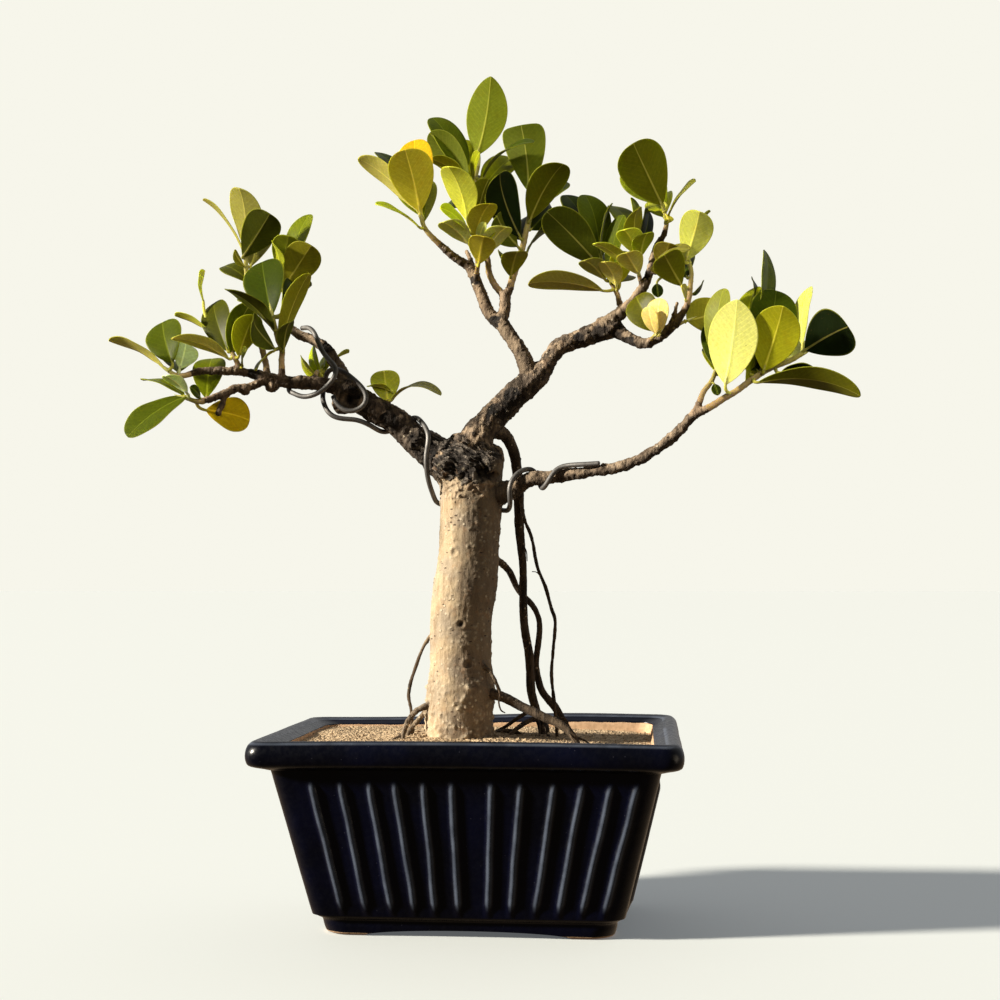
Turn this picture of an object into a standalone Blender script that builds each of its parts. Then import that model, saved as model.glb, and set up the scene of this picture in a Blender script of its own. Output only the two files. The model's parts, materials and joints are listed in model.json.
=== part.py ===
"""A fig bonsai with three wired branches, in a ribbed rectangular pot.

Every number in the tables below is in millimetres. The origin is on the surface that the pot
stands on, under the middle of the whole plant. +X is to the right and +Y is to the back.
"""

import math
from collections import namedtuple

import bmesh
import bpy
from mathutils import Matrix, Vector, noise

MM = 0.001
GAP = 0.3                    # left between pieces that touch

# Pot
POT_HEIGHT = 93.0
POT_X = -2.0                 # the pot's centre: the plant spreads a little more to the right
RIM = (204.0, 150.0)         # outside, over the lip
RIM_DEPTH = 14.0
NECK = (182.5, 132.0)        # under the lip
BODY_FOOT = (151.0, 101.0)   # lower end of the sloping walls
FOOT = (141.0, 91.0)
FOOT_WALL = 9.0
FOOT_ARCH = 3.0              # rise of the arches between the corner feet
WALL = 6.0
FLOOR_TOP = 10.0
CORNER = 9.0                 # plan radius of the pot's corners
DRAIN_RADIUS = 6.5
DRAIN_OFFSET = 36.0
RIB_WIDTH = 5.2
RIB_RISE = 1.7
RIB_SINK = 1.5
RIB_SPAN = (13.0, 76.5)
FRONT_RIB_TOPS = (-71.5, -57.5, -44.0, -32.0, -18.5, -5.0, 13.5, 27.0, 42.5, 55.5, 69.0, 81.0)
FRONT_RIB_FEET = (-58.5, -47.0, -35.0, -24.0, -14.5, -3.5, 10.5, 21.0, 32.5, 43.5, 54.0, 64.5)
SIDE_RIBS = 7

# Soil and the screens over the drain holes
SOIL_TOP = 88.0
HOLE_GAP = 0.4               # round a stem or root where it stands in the soil
SCREEN_SIZE = 22.0
SCREEN_THICKNESS = 1.2
SCREEN_HOLE = 7.0

# Wires
WIRE_RADIUS = 1.25
WIRE_GAP = 0.55
WIRE_STEP = 5.0
WIRE_PUSHES = 6
BARK_SWELL = 1.04            # the most that uneven bark adds to a radius

# Leaves
BLADE_THICKNESS = 0.7
BLADE_WIDTH = 0.54           # of the length, unless the leaf gives its own width
STATIONS = {34.0: (0.19, 0.45, 0.71, 0.92), 22.0: (0.26, 0.60, 0.90), 0.0: (0.36, 0.80)}
STALK_WIDTH = 1.7
STALK_SINK = 1.2
SHORT_STALK = 4.5            # below this the blade starts in the stem

TREE_SHARE = 0.7             # share of the triangles kept after each union
SLIVER = 0.4                 # shorter edges are drawn together on the shoots

Leaf = namedtuple("Leaf", "base tip face width arch fold")
Shoot = namedtuple("Shoot", "start stem radius leaves")


def leaf(base, tip, face, width=None, arch=0.07, fold=0.16):
    """A blade from its base to its tip. Face 0 turns its upper side to -Y and 180 turns it away."""
    return Leaf(Vector(base), Vector(tip), face, width, arch, fold)


# The wood. Each route is a list of (x, y, z, radius).
TRUNK = [(-10, 0, 74, 18.4), (-10.5, 0, 88, 17.4), (-11, 0, 100, 17.0), (-10, 0, 113, 16.8),
         (-10, 0, 124, 15.9), (-10.2, 0, 134, 15.4), (-10, 0, 150, 15.8), (-8, 0, 165, 15.9),
         (-6.5, 0, 176, 15.1), (-6, 0, 186, 14.9), (-5, 0, 204, 15.3), (-5, 0, 216, 15.8),
         (-6, 0, 223, 17.6), (-7.5, 0, 229, 16.6), (-8, 0, 233.5, 14.4), (-7, 0, 237, 10)]
BRANCHES = {
    "centre": [(-5, 0, 230, 12), (-1.6, 0, 240.7, 8.6), (5, 0.5, 249.3, 7.0), (18.6, 2, 263.7, 6.6),
               (26.2, 3, 269.8, 6.5), (32.3, 3.5, 277, 4.8), (38, 4, 285, 4.3), (43.5, 4, 288.7, 4.3),
               (57.7, 4, 293.4, 4.7), (64.3, 4, 295.4, 5.2), (69, 3.5, 296.5, 4.6)],
    "centre_up": [(25, 2, 271, 5), (20, 4, 284, 4), (11, 8, 298, 3.6), (9, 10, 303, 3.5)],
    "centre_left": [(10, 9, 299, 3.4), (3, 11, 306, 3.2), (-2, 13, 318, 2.9), (-7, 14, 330, 2.7),
                    (-12, 12.5, 333.5, 2.2), (-17, 11, 337, 2.0), (-20, 9.6, 339.8, 1.9)],
    "centre_stub": [(-6, 14, 328, 1.8), (-7, 17, 334, 1.4), (-10, 22, 341, 1.1)],
    "centre_right": [(9, 9, 300, 3.4), (11, 12, 308, 3.0), (11, 15, 317, 2.7)],
    "high_right": [(55, 4, 293, 4.0), (61, 3.4, 297, 3.3), (71, 0, 303.4, 3.1), (77, -1, 309, 2.7),
                   (83, -2, 317, 2.4), (86, -3, 324, 2.1), (88, -3, 333, 1.8), (91, -4, 339, 1.6)],
    "low_right": [(60, 4, 294, 4.4), (66, 4, 296.5, 4.5), (70, 3, 294, 3.9), (73.5, 1.5, 291.3, 3.2),
                  (77.5, -1, 288.6, 2.7), (81.5, -3.5, 287.1, 2.4), (85.5, -5.5, 287.1, 2.3),
                  (90, -7.5, 289, 2.2), (95, -10, 293, 2.1),
                  (100, -12, 298, 1.9), (102, -13.3, 301.5, 1.7)],
    "low_right_stub": [(94, -10, 292, 1.7), (97, -11, 298, 1.2), (99, -9, 306, 1.0)],
    "left": [(-8, 0, 222, 13), (-18, 0, 228.5, 11), (-30, -2, 237, 8), (-37, -3, 243, 7),
             (-45, -4, 250, 6.7), (-54, -6, 254.5, 6.6), (-62, -7, 260, 6.3), (-70, -8, 266, 6)],
    "left_cut": [(-63, -8, 260, 5.8), (-67.5, -9.5, 257.5, 5.2), (-71.5, -10.5, 255.8, 4.4)],
    "left_up": [(-65, -8, 263, 4.4), (-70, -7, 272, 3.6), (-75, -4, 280, 3.2), (-79, -2, 286, 3),
                (-84, 0, 290, 2.8), (-88, 2, 292, 2.6), (-95, 5, 295, 2.3), (-98.5, 6.6, 297.4, 2.2)],
    "left_low": [(-66, -8, 264, 4.4), (-78, -10, 267, 3.7), (-87, -12, 268, 3.4),
                 (-96, -13, 268, 3.2), (-110, -16, 271, 2.6), (-120, -19, 273, 2.3),
                 (-127, -21, 273, 2), (-135, -23, 273, 1.8), (-139.5, -23.9, 272.7, 1.7)],
    "left_twig": [(-104, -14, 270, 2.3), (-109, -17, 268, 2.3), (-115, -20, 265, 2.1),
                  (-120, -23, 264, 2), (-125, -27, 261, 1.9), (-130, -29.6, 258.8, 1.8)],
    "left_stub": [(-119, -22, 264.5, 1.7), (-123, -24.5, 263.5, 1.6), (-126, -27.5, 257, 1.5),
                  (-128, -30, 250, 1.4)],
    "right": [(-2, 0, 207, 7.5), (5, -2, 210, 6.8), (11, -4, 212, 5.7), (16, -6, 213.5, 4.9),
              (25, -9, 218, 3.8), (34, -11, 219, 3.4), (42, -13, 220, 3.2), (51, -15, 221, 3),
              (60, -17, 222, 2.8), (70, -20, 223.5, 2.7), (80, -22, 227, 2.6),
              (90, -25, 233, 2.5), (100, -27, 241, 2.4), (106.5, -29.2, 248, 2.3)],
}
ROOTS = {
    "tall": [(3, 3, 244, 4), (9.5, 9, 243.6, 3.5), (12.7, 11.5, 240.5, 3.2), (15.7, 13, 233, 3),
             (17.2, 15, 222, 2.8), (18, 15.5, 210, 2.7), (18.5, 16, 192, 2.4), (20, 17, 176, 2),
             (20, 18, 162, 2.1), (20.5, 18, 146, 2.2), (23, 19, 129, 2.2), (24, 20, 111, 2.3),
             (27, 21, 100, 2.1), (31, 22, 84, 1.7)],
    "behind": [(2, 6, 181, 2.3), (9, 14.5, 177, 1.9), (13, 22, 172, 1.7), (17, 26, 163, 1.6),
               (25, 26, 154, 1.6), (28, 25, 145, 1.6), (27, 25, 133, 1.7), (26, 26, 124, 1.8),
               (29, 27.5, 111, 2), (36, 30, 102, 2.2), (41, 32, 92, 1.9), (43, 33, 82, 1.6)],
    "thin": [(19, 15, 212, 1.2), (21, 10, 200, 1), (25, 8, 190, 1), (28, 8, 175, 1),
             (32, 8, 165, 1), (35, 8, 154, 1), (37, 8, 147, 1), (36, 8, 133, 1), (35, 10, 121, 1),
             (36, 12, 108, 1), (37, 14, 96, 1), (38, 15, 83, 0.9)],
    "surface": [(-2, -3, 115, 3.6), (3, -5, 112.5, 3.0), (8, -6, 111, 2.7), (13, -6.5, 109.5, 2.5),
                (21, -7, 105.5, 2.4), (30, -8, 101.5, 2.3), (40, -9, 97, 2.2), (46, -10, 92, 2),
                (51, -11.5, 83, 1.7)],
    "ground": [(-2, 7, 82, 1.6), (5, 10.5, 89.5, 1.4), (12, 13, 91.5, 1.3), (18, 15, 90, 1.2),
               (25, 17, 83, 1.0)],
    "left_thin": [(-19, 4.5, 144, 1.5), (-24.5, 7, 142, 1.2), (-28, 8.5, 138, 1),
                  (-31, 9, 133, 1), (-34, 9, 125, 1), (-37, 9, 116, 1), (-38, 9, 109, 1),
                  (-36.5, 8, 102, 1), (-36, 8, 93, 1), (-34.5, 8, 83, 0.9)],
    "left_front": [(-20, -6, 110, 2.2), (-26, -8, 106, 1.7), (-32, -9, 102.5, 1.5),
                   (-36, -10, 97, 1.4), (-38.5, -10.5, 88, 1.3), (-39, -10.5, 82, 1.2)],
    "left_back": [(-22, 4, 105, 2), (-28, 3, 101.5, 1.5), (-32, 2, 97.5, 1.4), (-36.5, 1.5, 92, 1.3),
                  (-39, 1, 82, 1.2)],
    "hair": [(0, -9, 128, 1.3), (6, -10.5, 122, 1), (9.5, -9.5, 115, 0.9), (11, -6.5, 110, 0.9)],
}
# Swellings: (x, y, z, radius)
KNOTS = [(-33, -5.5, 239.5, 6.8), (-66, -9, 263, 7.4), (63, 3.6, 296, 6.0), (-17, -11, 226, 7.5),
         (-104.5, -15, 266, 3.6), (-117, -21.5, 263.5, 3.0),
         (-5, -13, 225, 6.0), (6, -9, 226, 7.0), (-20, 8, 229, 7.5), (4, 9, 231, 7.5),
         (-9, -8, 232, 6.5)]

WIRES = {
    "wire_main": [
        (60, -20.4, 225.2), (52, -18.8, 224.9), (45, -16.8, 224.7), (40.5, -15.8, 223.8),
        (37, -16.8, 220.3), (34, -14.8, 215.5), (31.5, -9.8, 213.8), (29.5, -4.6, 217.5),
        (27.5, -6.2, 223.2), (23, -10.0, 223.4), (18.5, -12.6, 220.5), (15.5, -14.2, 214.5),
        (15.8, -11.0, 206.5), (14.0, -3.0, 203.4), (10.2, 8.0, 203.8), (3.0, 15.4, 204.6),
        (-7, 17.8, 205.6), (-17, 13.6, 206.4), (-22.6, 5.0, 207.4), (-23.8, -4.5, 211.0),
        (-25.8, -10.5, 219.5), (-26.2, -14.0, 230.0), (-25.0, -13.2, 240.0), (-29.5, -6.6, 247.8),
        (-36.5, 1.8, 250.0), (-42.5, 6.2, 248.0), (-46.4, 0.5, 245.0), (-50.5, -5.0, 245.4),
        (-56.0, -8.8, 246.8), (-62.0, -10.4, 249.0), (-67.0, -11.4, 249.2), (-72.5, -12.2, 250.2),
        (-77.0, -12.0, 254.0), (-79.6, -9.6, 259.4), (-80.2, -5.4, 263.8), (-79.8, -4.2, 268.8),
        (-78.0, -7.8, 273.0), (-73.8, -13.2, 274.6), (-68.6, -14.8, 273.2), (-62.6, -16.2, 268.8),
        (-57.8, -17.0, 264.2), (-55.4, -17.4, 260.0), (-56.6, -17.4, 256.0), (-60.6, -17.6, 253.0),
        (-65.6, -18.2, 252.4), (-70.4, -18.0, 255.6), (-72.8, -16.8, 260.0)],
    "wire_fork": [
        (-97.4, -8.2, 267.0), (-96.6, -11.6, 264.2), (-93.4, -15.6, 262.2), (-89.0, -17.0, 260.1),
        (-84.0, -18.6, 260.2), (-79.0, -20.0, 262.0), (-74.6, -20.8, 265.4), (-71.2, -20.4, 269.8),
        (-71.2, -18.4, 274.4), (-74.6, -15.0, 278.0), (-78.3, -11.2, 281.8), (-80.7, -9.6, 285.3),
        (-82.8, -7.8, 289.8), (-85.2, -4.6, 294.4), (-89.2, 1.2, 298.0), (-94.2, 8.2, 299.0)],
}

# Each shoot springs from a point inside the wood. Its stem starts at a flat seat, and the leaves
# stand on their stalks along the stem, as they are seen from the front.
SHOOTS = {
    "shoot_left_tip": Shoot(
        (-138.6, -23.7, 272.9), [(-143.5, -25, 271.3), (-147, -26, 270.2), (-151, -27, 270.6),
                                 (-154, -28, 272.6)], 1.5, [
            leaf((-155, -28, 273), (-183.6, -32, 288), 104, 17),
            leaf((-152, -28, 276), (-161, -16, 299), -5, 20),
            leaf((-149.5, -24, 274), (-150, -12, 289), 40, 15),
            leaf((-150, -25, 272), (-160, -2, 281), 60),
        ]),
    "shoot_left_low": Shoot(
        (-129, -29.2, 259.2), [(-134.5, -32, 257), (-138, -33, 256.4), (-142, -34, 257.6)], 1.5, [
            leaf((-142.5, -34, 259), (-167.5, -49, 237.5), 40, 21),
            leaf((-144, -34, 259), (-168, -24, 269), 75),
            leaf((-142, -36, 260), (-148, -52, 267), 140),
            leaf((-136, -23, 259), (-139.5, -1, 283), 5, 17),
            leaf((-136, -34, 258), (-138, -44, 262), 60),
            leaf((-136, -24, 253), (-115.5, -16, 248.5), -25, 19),
        ]),
    "shoot_left_front": Shoot(
        (-119, -18.7, 272.6), [(-121, -20, 277), (-123, -20.5, 281), (-127, -17, 287),
                               (-131, -13, 291)], 1.3, [
            leaf((-125, -22, 279), (-147, -45, 286.5), 113, 15),
            leaf((-126, -20, 283), (-138, -5, 311), -12, 17),
            leaf((-142.5, -7, 310.5), (-144, -2, 328), -82, 13),
            leaf((-136, -11, 293), (-157, -8, 304), 100, 13),
            leaf((-124, -20, 281), (-113.5, -25, 307), 240, 16),
            leaf((-120, -22, 280), (-110, -31, 299.5), 230, 16),
            leaf((-118, -22, 275), (-113, -34, 282), -55),
        ]),
    "shoot_left_upright": Shoot(
        (-100, -14, 269.4), [(-99.5, -15, 275), (-99.5, -15.8, 279), (-99, -17, 284),
                             (-101, -18, 289), (-102, -20, 295), (-103, -21, 300)], 1.6, [
            leaf((-104, -19, 300.5), (-113, -3, 332), -8, 23),
            leaf((-102, -22, 293), (-119, -49, 309), 113, 18),
            leaf((-102, -20, 284), (-108, -44, 295), 240, 15),
            leaf((-99, -20, 284), (-82, -35, 319), 248, 15),
            leaf((-97, -22, 283), (-91, -37, 295), 250),
            leaf((-97, -17, 302), (-88, -2, 320), -80),
            leaf((-99, -18, 303), (-97, -8, 321), 60),
            leaf((-102, -21, 283), (-109, -31, 272), 70),
        ]),
    "shoot_left_back": Shoot(
        (-108, -15.4, 270.6), [(-108.5, -10.5, 274.5), (-110, -6, 279), (-116, 2, 296),
                               (-120, 6, 312), (-123, 6, 324), (-124, 6, 337)], 1.7, [
            leaf((-124, 5, 340), (-121.5, -17, 367), 158, 20),
            leaf((-125, 4, 336), (-105, -20, 353), 206, 19),
            leaf((-125, 8, 338), (-147, 8, 368), 97, 17),
            leaf((-124, 4, 331), (-127, -6, 337), 240),
            leaf((-122, 8, 323), (-139, 19, 335), 40),
            leaf((-122, 9, 332), (-122.5, 36, 356), 10, 15),
            leaf((-119, 8, 312), (-128, 33, 320), 30),
        ]),
    "shoot_left_high": Shoot(
        (-97.4, 6.2, 296.8), [(-100.6, 7.8, 301), (-102, 8.5, 305), (-103.5, 9, 315),
                              (-104.5, 9, 322), (-104, 9, 328)], 1.6, [
            leaf((-102, 10, 325), (-92, 12, 360), -42, 19),
            leaf((-106, 8, 328), (-98, -9, 344), 200, 15),
            leaf((-106, 6, 328), (-105, -12, 339.5), 130, 12),
            leaf((-105, 8, 319), (-85.5, -12, 338), 205, 19),
            leaf((-104, 11, 318), (-102, 37, 343), 10, 15),
        ]),
    "shoot_fork_back": Shoot(
        (-84, -11, 267.8), [(-84, -7.2, 271.8), (-84, -3.4, 274.4), (-84.5, 3, 275.4)], 1.2, [
            leaf((-85, 6, 272.5), (-96.5, 15, 284.5), -60),
            leaf((-83, 6, 272.5), (-90.5, 16, 290.5), -50, 11),
            leaf((-81.5, 6, 273), (-83, 18, 288), -50, 11),
            leaf((-83, 6, 277), (-80, 18, 284), -40),
            leaf((-82, 6, 276), (-72, 19, 288), -75),
            leaf((-84, 8, 275), (-88, 27, 276), 10),
        ]),
    "shoot_left_top": Shoot(
        (-46.5, -4, 251), [(-47.5, 0.4, 259.6), (-47.8, 1.6, 262), (-48, 2.5, 264)], 1.1, [
            leaf((-48, 1, 258.5), (-48, -12, 273.5), 190, 15),
            leaf((-46, -3, 264.5), (-56, -12, 266), 100, 9),
            leaf((-46, -1, 259.5), (-19.5, -9, 262), -75, 13, 0.22),
            leaf((-49, 5, 259), (-51.5, 16, 274), 10, 12),
        ]),
    "shoot_top_left": Shoot(
        (-18.6, 10.4, 338.5), [(-22.6, 8.8, 342), (-26.5, 7, 345.6), (-30, 6, 350),
                               (-32, 5.4, 356)], 1.6, [
            leaf((-32, 4, 358), (-37, -16, 385), 185, 23),
            leaf((-33, 5, 358), (-63, -2, 385.5), 122, 16),
            leaf((-33, 7, 360), (-56, 14, 393), 60, 17),
            leaf((-32, 4, 349.5), (-52.5, -12, 358.5), 75, 15),
            leaf((-32, 7, 360), (-37, 15, 399), -12, 20),
            leaf((-31, 8, 356), (-43, 34, 382.5), 0, 16),
            leaf((-31, 8, 353), (-33.5, 31, 382.5), 20, 14),
        ]),
    "shoot_top_back": Shoot(
        (11, 15, 314.5), [(8, 16.6, 318.4), (5, 19, 322.4), (2, 22, 329), (1, 24.5, 336),
                          (-2, 27, 350), (-5, 30, 362), (-7, 31, 376), (-5, 30.5, 388)], 1.8, [
            leaf((-10, 31, 379), (-30.5, 29, 406.5), 150, 17),
            leaf((-10, 30, 379), (-29, 22, 391), 115),
            leaf((-12, 32, 378), (-32, 37, 394), 70),
            leaf((-11, 33, 380), (-30, 38, 418), 35, 18),
            leaf((-7, 33, 380), (-17.5, 43, 406.5), 20, 17),
            leaf((-5, 30, 394), (2.5, 26, 435), 176, 22),
            leaf((-7, 27, 378.5), (-2.5, 13, 390.5), -60, 12),
            leaf((-2, 28, 381), (26, 6, 394), 288, 14, 0.12),
            leaf((-6, 33, 372), (2, 60, 386), 0, 19),
            leaf((-8, 33, 368), (-24, 58, 376), 20, 18),
            leaf((-3, 33, 376), (12, 50, 398), -20, 18),
        ]),
    "shoot_top_front": Shoot(
        (-4.2, 13.4, 322.6), [(-3.2, 8.6, 326.6), (-2.4, 5, 329.6), (-3, 2.5, 338),
                              (-5, 1, 347)], 1.3, [
            leaf((-7, 0, 351), (-14, -23, 374), 145, 19),
            leaf((-6, -2, 345), (-18, -20, 354), 60, 13),
            leaf((-6, -1, 339), (-17, -20, 347), 130, 14),
            leaf((-1, -1, 329), (3, -17, 340), 190, 14),
            leaf((-3, -1, 343), (6, -19, 356), 230, 15),
            leaf((-3, 2, 346), (3, 3, 374), 230, 16),
            leaf((-1, -2, 338), (3, -11, 348), -40),
            leaf((0, -2, 336), (9, -11, 345), -50),
            leaf((1, 0, 333), (14, -16, 345), 238, 15),
        ]),
    "shoot_top_right": Shoot(
        (11, 14.6, 314.5), [(13.6, 15, 320), (15, 15, 325), (18, 14.5, 334), (20.5, 14, 342),
                            (22, 14, 349), (23.5, 16, 357), (23, 18, 365)], 1.9, [
            leaf((19, 10, 345), (10, -15, 372), 212, 21),
            leaf((24, 12, 354), (42, -9, 378), 223, 20),
            leaf((14, 12, 325), (19, -8, 334), 218, 14),
            leaf((17, 13, 331), (8, 5, 337), 240),
            leaf((24, 16, 350), (34, 32, 367), 40, 15),
            leaf((22, 16, 338), (33, 30, 354), -85, 13),
            leaf((23, 20, 371), (19, 22, 407), 172, 23),
            leaf((18, 10, 340), (8, -4, 353), 210, 16),
            leaf((21, 18, 345), (14, 42, 360), 0, 18),
            leaf((24, 20, 362), (40, 38, 381), -30, 18),
        ]),
    "shoot_mid_left": Shoot(
        (71.4, 0, 304.5), [(69.8, 4.6, 310.6), (69, 6.6, 314), (65.5, 8.6, 321), (62, 10, 329)],
        1.4, [
            leaf((60, 8, 329), (34, -7, 354), 155, 21),
            leaf((60, 12, 333), (53, 15, 368), 38, 20),
            leaf((60, 13, 331), (42.5, 25, 371), 38, 19),
            leaf((61, 8, 332), (66, 2, 360), -85, 14),
            leaf((63, 5, 321), (53, -12, 328), 130, 13),
            leaf((62, 3, 315), (25, -12, 317), 117, 16),
            leaf((66, 4, 321), (72.5, -4.5, 352), -55, 16),
            leaf((69, 3, 317), (63, -12, 327), 140, 12),
            leaf((70.5, 2, 318.5), (72, -6, 333.5), 190, 12),
            leaf((63, 13, 326), (56, 40, 340), 10, 18),
            leaf((66, 11, 320), (72, 36, 330), -10, 17),
        ]),
    "shoot_mid_right": Shoot(
        (82, -2, 315.6), [(80.6, -4.2, 319.6), (79.8, -5, 323), (79, -4, 329), (79, -3, 335)],
        1.1, [
            leaf((78, -1, 338), (67.5, 17, 362), 40, 16),
            leaf((79, -1, 337), (77, -4, 361), 70, 13),
            leaf((79, -4, 336), (79, -22, 351), 230, 14),
            leaf((80, -1, 336), (85, 6, 357), 60, 12),
            leaf((81, -6, 330), (84, -21, 339), 220, 12),
            leaf((80, -7, 330.5), (73, -24, 340.5), 150, 13),
            leaf((75.5, -9, 324), (58.5, -26, 333.5), 110, 11),
            leaf((80, -7, 321), (74, -27, 328), 150, 13),
        ]),
    "shoot_high_tip": Shoot(
        (90.4, -3.8, 337.6), [(93.4, -4.3, 344), (94.2, -4.5, 348), (93, -5, 353)], 1.3, [
            leaf((92, -6, 356), (77.5, -28, 382), 182, 25),
            leaf((94, -3, 357), (76.5, 11, 384), -10, 23),
            leaf((94.5, -6, 350), (108, -22, 364), -75, 14),
            leaf((94, -7, 351), (95, -15, 345), 200),
            leaf((93, -2, 351), (91, 24, 368), -20, 16),
        ]),
    "shoot_mid_front": Shoot(
        (86, -3, 323.6), [(88.8, -5.6, 322.2), (91, -8, 321), (92.4, -9.6, 319.6)], 1.0, [
            leaf((87, -12, 323.5), (105, -27, 329), -60, 11, 0.15),
            leaf((91, -10, 323), (95, -24, 333), 190, 13),
            leaf((89, -11, 315.5), (89.5, -18, 307.5), 0),
        ]),
    "shoot_low_tip": Shoot(
        (101.4, -13, 300.4), [(104, -14, 305), (105, -14.3, 309), (105.4, -14.4, 313),
                              (106, -14.4, 320), (105, -14, 325)], 1.5, [
            leaf((103, -16, 325.5), (109.5, -32, 346.5), 172, 17, 0.07, 0.3),
            leaf((105, -12, 328), (115, -6, 353), -85, 12),
            leaf((101, -17, 313), (92, -41, 324), 170, 16),
            leaf((106, -14, 309), (112, -7, 317), 80),
            leaf((103, -16, 306), (101, -27, 311), 60),
            leaf((104, -12, 318), (102, 12, 332), -20, 15),
        ]),
    "shoot_low_back": Shoot(
        (85.8, -6, 287.4), [(86, -9.8, 287.8), (86.8, -12.4, 288.4), (88, -14.6, 289.2)], 1.0, [
            leaf((90, -16, 289.5), (90.5, -20, 306.5), -40, 14),
            leaf((88.5, -16, 289.5), (85, -23, 302), -50, 11),
            leaf((88, -14, 291), (78.5, -7, 310), -20, 17),
        ]),
    "shoot_low_right": Shoot(
        (95, -10, 293), [(98.8, -8.2, 295), (101, -7.2, 296.2), (103, -6.2, 297.2)], 1.1, [
            leaf((104, -5.6, 297.6), (125, 14, 307), 170, 22),
        ]),
    "shoot_right_upright": Shoot(
        (106.4, -29.2, 248), [(109.4, -29, 255), (111, -28.8, 259), (115, -27.6, 264.4),
                              (117, -26.4, 269.6)], 1.5, [
            leaf((119.5, -27, 270), (120.5, -30, 309), -50, 18),
            leaf((116, -30, 262.5), (117.5, -36, 256.5), 0),
            leaf((118, -24, 268), (118, 2, 284), 10, 15),
            leaf((118, -24, 270), (119.5, -6, 299), -20, 15),
        ]),
    "shoot_right_tip": Shoot(
        (105.6, -29, 247.4), [(112.6, -31, 250.6), (116, -31.6, 252.4), (120, -32.2, 255),
                              (126, -33, 258.4), (134, -34, 264), (142, -34, 269),
                              (152, -33, 273), (158, -31.6, 276.6)], 1.8, [
            leaf((121, -38, 261), (126, -52, 299.5), 165, 24, 0.07, 0.08),
            leaf((139, -38, 267.5), (147, -56, 295.5), 172, 23, 0.07, 0.08),
            leaf((139, -29, 271), (147, -20, 309.5), 8, 24),
            leaf((132, -26, 272), (137, -12, 313), -45, 18),
            leaf((136, -24, 281), (137, -2, 319), 65, 15),
            leaf((137.5, -22, 286), (143.5, -12, 331), 62, 17, 0.04),
            leaf((158.5, -29, 281), (162.5, -22, 310.5), -65, 15),
            leaf((159, -33, 278), (177.5, -50, 286.5), 196, 25),
            leaf((136, -38, 262), (183.5, -45, 255), 246, 19, 0.1),
            leaf((147, -38, 266.5), (163, -46, 266.5), 250, 11),
            leaf((131, -31, 263), (138, -22, 288), 50, 16),
            leaf((147, -31, 272), (158, -8, 288), -10, 18),
            leaf((137, -32, 268), (130, -4, 280), 10, 17),
        ]),
}


def clear_scene():
    for item in list(bpy.data.objects):
        bpy.data.objects.remove(item, do_unlink=True)


def new_collection(name):
    made = bpy.data.collections.new(name)
    bpy.context.scene.collection.children.link(made)
    return made


def material(name, colour, roughness, metallic=0.0):
    made = bpy.data.materials.new(name)
    made.use_nodes = True
    shader = made.node_tree.nodes["Principled BSDF"]
    shader.inputs["Base Color"].default_value = (*colour, 1.0)
    shader.inputs["Roughness"].default_value = roughness
    shader.inputs["Metallic"].default_value = metallic
    made.diffuse_color = (*colour, 1.0)
    return made


def place(name, mesh, collection):
    made = bpy.data.objects.new(name, mesh)
    collection.objects.link(made)
    return made


def finish_mesh(bm, name):
    bmesh.ops.recalc_face_normals(bm, faces=bm.faces)
    mesh = bpy.data.meshes.new(name)
    bm.to_mesh(mesh)
    bm.free()
    return mesh


def evaluated_mesh(item):
    """The object's mesh with its modifiers or bevel applied."""
    bpy.context.view_layer.update()
    graph = bpy.context.evaluated_depsgraph_get()
    return bpy.data.meshes.new_from_object(item.evaluated_get(graph))


def welded(mesh):
    """A curve's mesh with its loose caps joined to its sides."""
    bm = bmesh.new()
    bm.from_mesh(mesh)
    bmesh.ops.remove_doubles(bm, verts=bm.verts, dist=1e-6)
    name = mesh.name
    bpy.data.meshes.remove(mesh)
    return finish_mesh(bm, name)


def tube(name, route, sides_step, collection):
    """A round bar along (x, y, z, radius) points in mm, with 4, 6, 8 ... sides."""
    curve = bpy.data.curves.new(name, "CURVE")
    curve.dimensions = "3D"
    curve.bevel_depth = MM
    curve.bevel_resolution = sides_step
    curve.use_fill_caps = True
    spline = curve.splines.new("POLY")
    spline.points.add(len(route) - 1)
    for point, (x, y, z, radius) in zip(spline.points, route):
        point.co = (x * MM, y * MM, z * MM, 1.0)
        point.radius = radius
    drawn = place(name, curve, collection)
    mesh = welded(evaluated_mesh(drawn))
    bpy.data.objects.remove(drawn)
    bpy.data.curves.remove(curve)
    return place(name, mesh, collection)


def rounded(route, steps):
    """More points on a smooth curve through the route's own points."""
    points = [Vector(p) for p in route]
    ends = [2 * points[0] - points[1], *points, 2 * points[-1] - points[-2]]
    found = []
    for i in range(1, len(ends) - 2):
        a, b, c, d = ends[i - 1:i + 3]
        for k in range(steps):
            t = k / steps
            found.append(0.5 * (2 * b + (c - a) * t + (2 * a - 5 * b + 4 * c - d) * t * t
                                + (3 * b - a - 3 * c + d) * t ** 3))
    found.append(points[-1])
    return found


def boolean(target, operation, operand, solver="EXACT"):
    """Applies one Boolean with an object, or with a whole collection, which is then emptied."""
    step = target.modifiers.new(operation.lower(), "BOOLEAN")
    step.operation = operation
    step.solver = solver
    if isinstance(operand, bpy.types.Collection):
        step.operand_type = "COLLECTION"
        step.collection = operand
        used = list(operand.objects)
    else:
        step.object = operand
        used = [operand]
    mesh = evaluated_mesh(target)
    target.modifiers.clear()
    target.data = mesh
    for item in used:
        bpy.data.objects.remove(item)


def lightened(item, share):
    """Keeps this share of the triangles: the slivers where bars and blades meet go first."""
    step = item.modifiers.new("lighter", "DECIMATE")
    step.ratio = share
    mesh = evaluated_mesh(item)
    item.modifiers.clear()
    item.data = mesh


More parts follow.
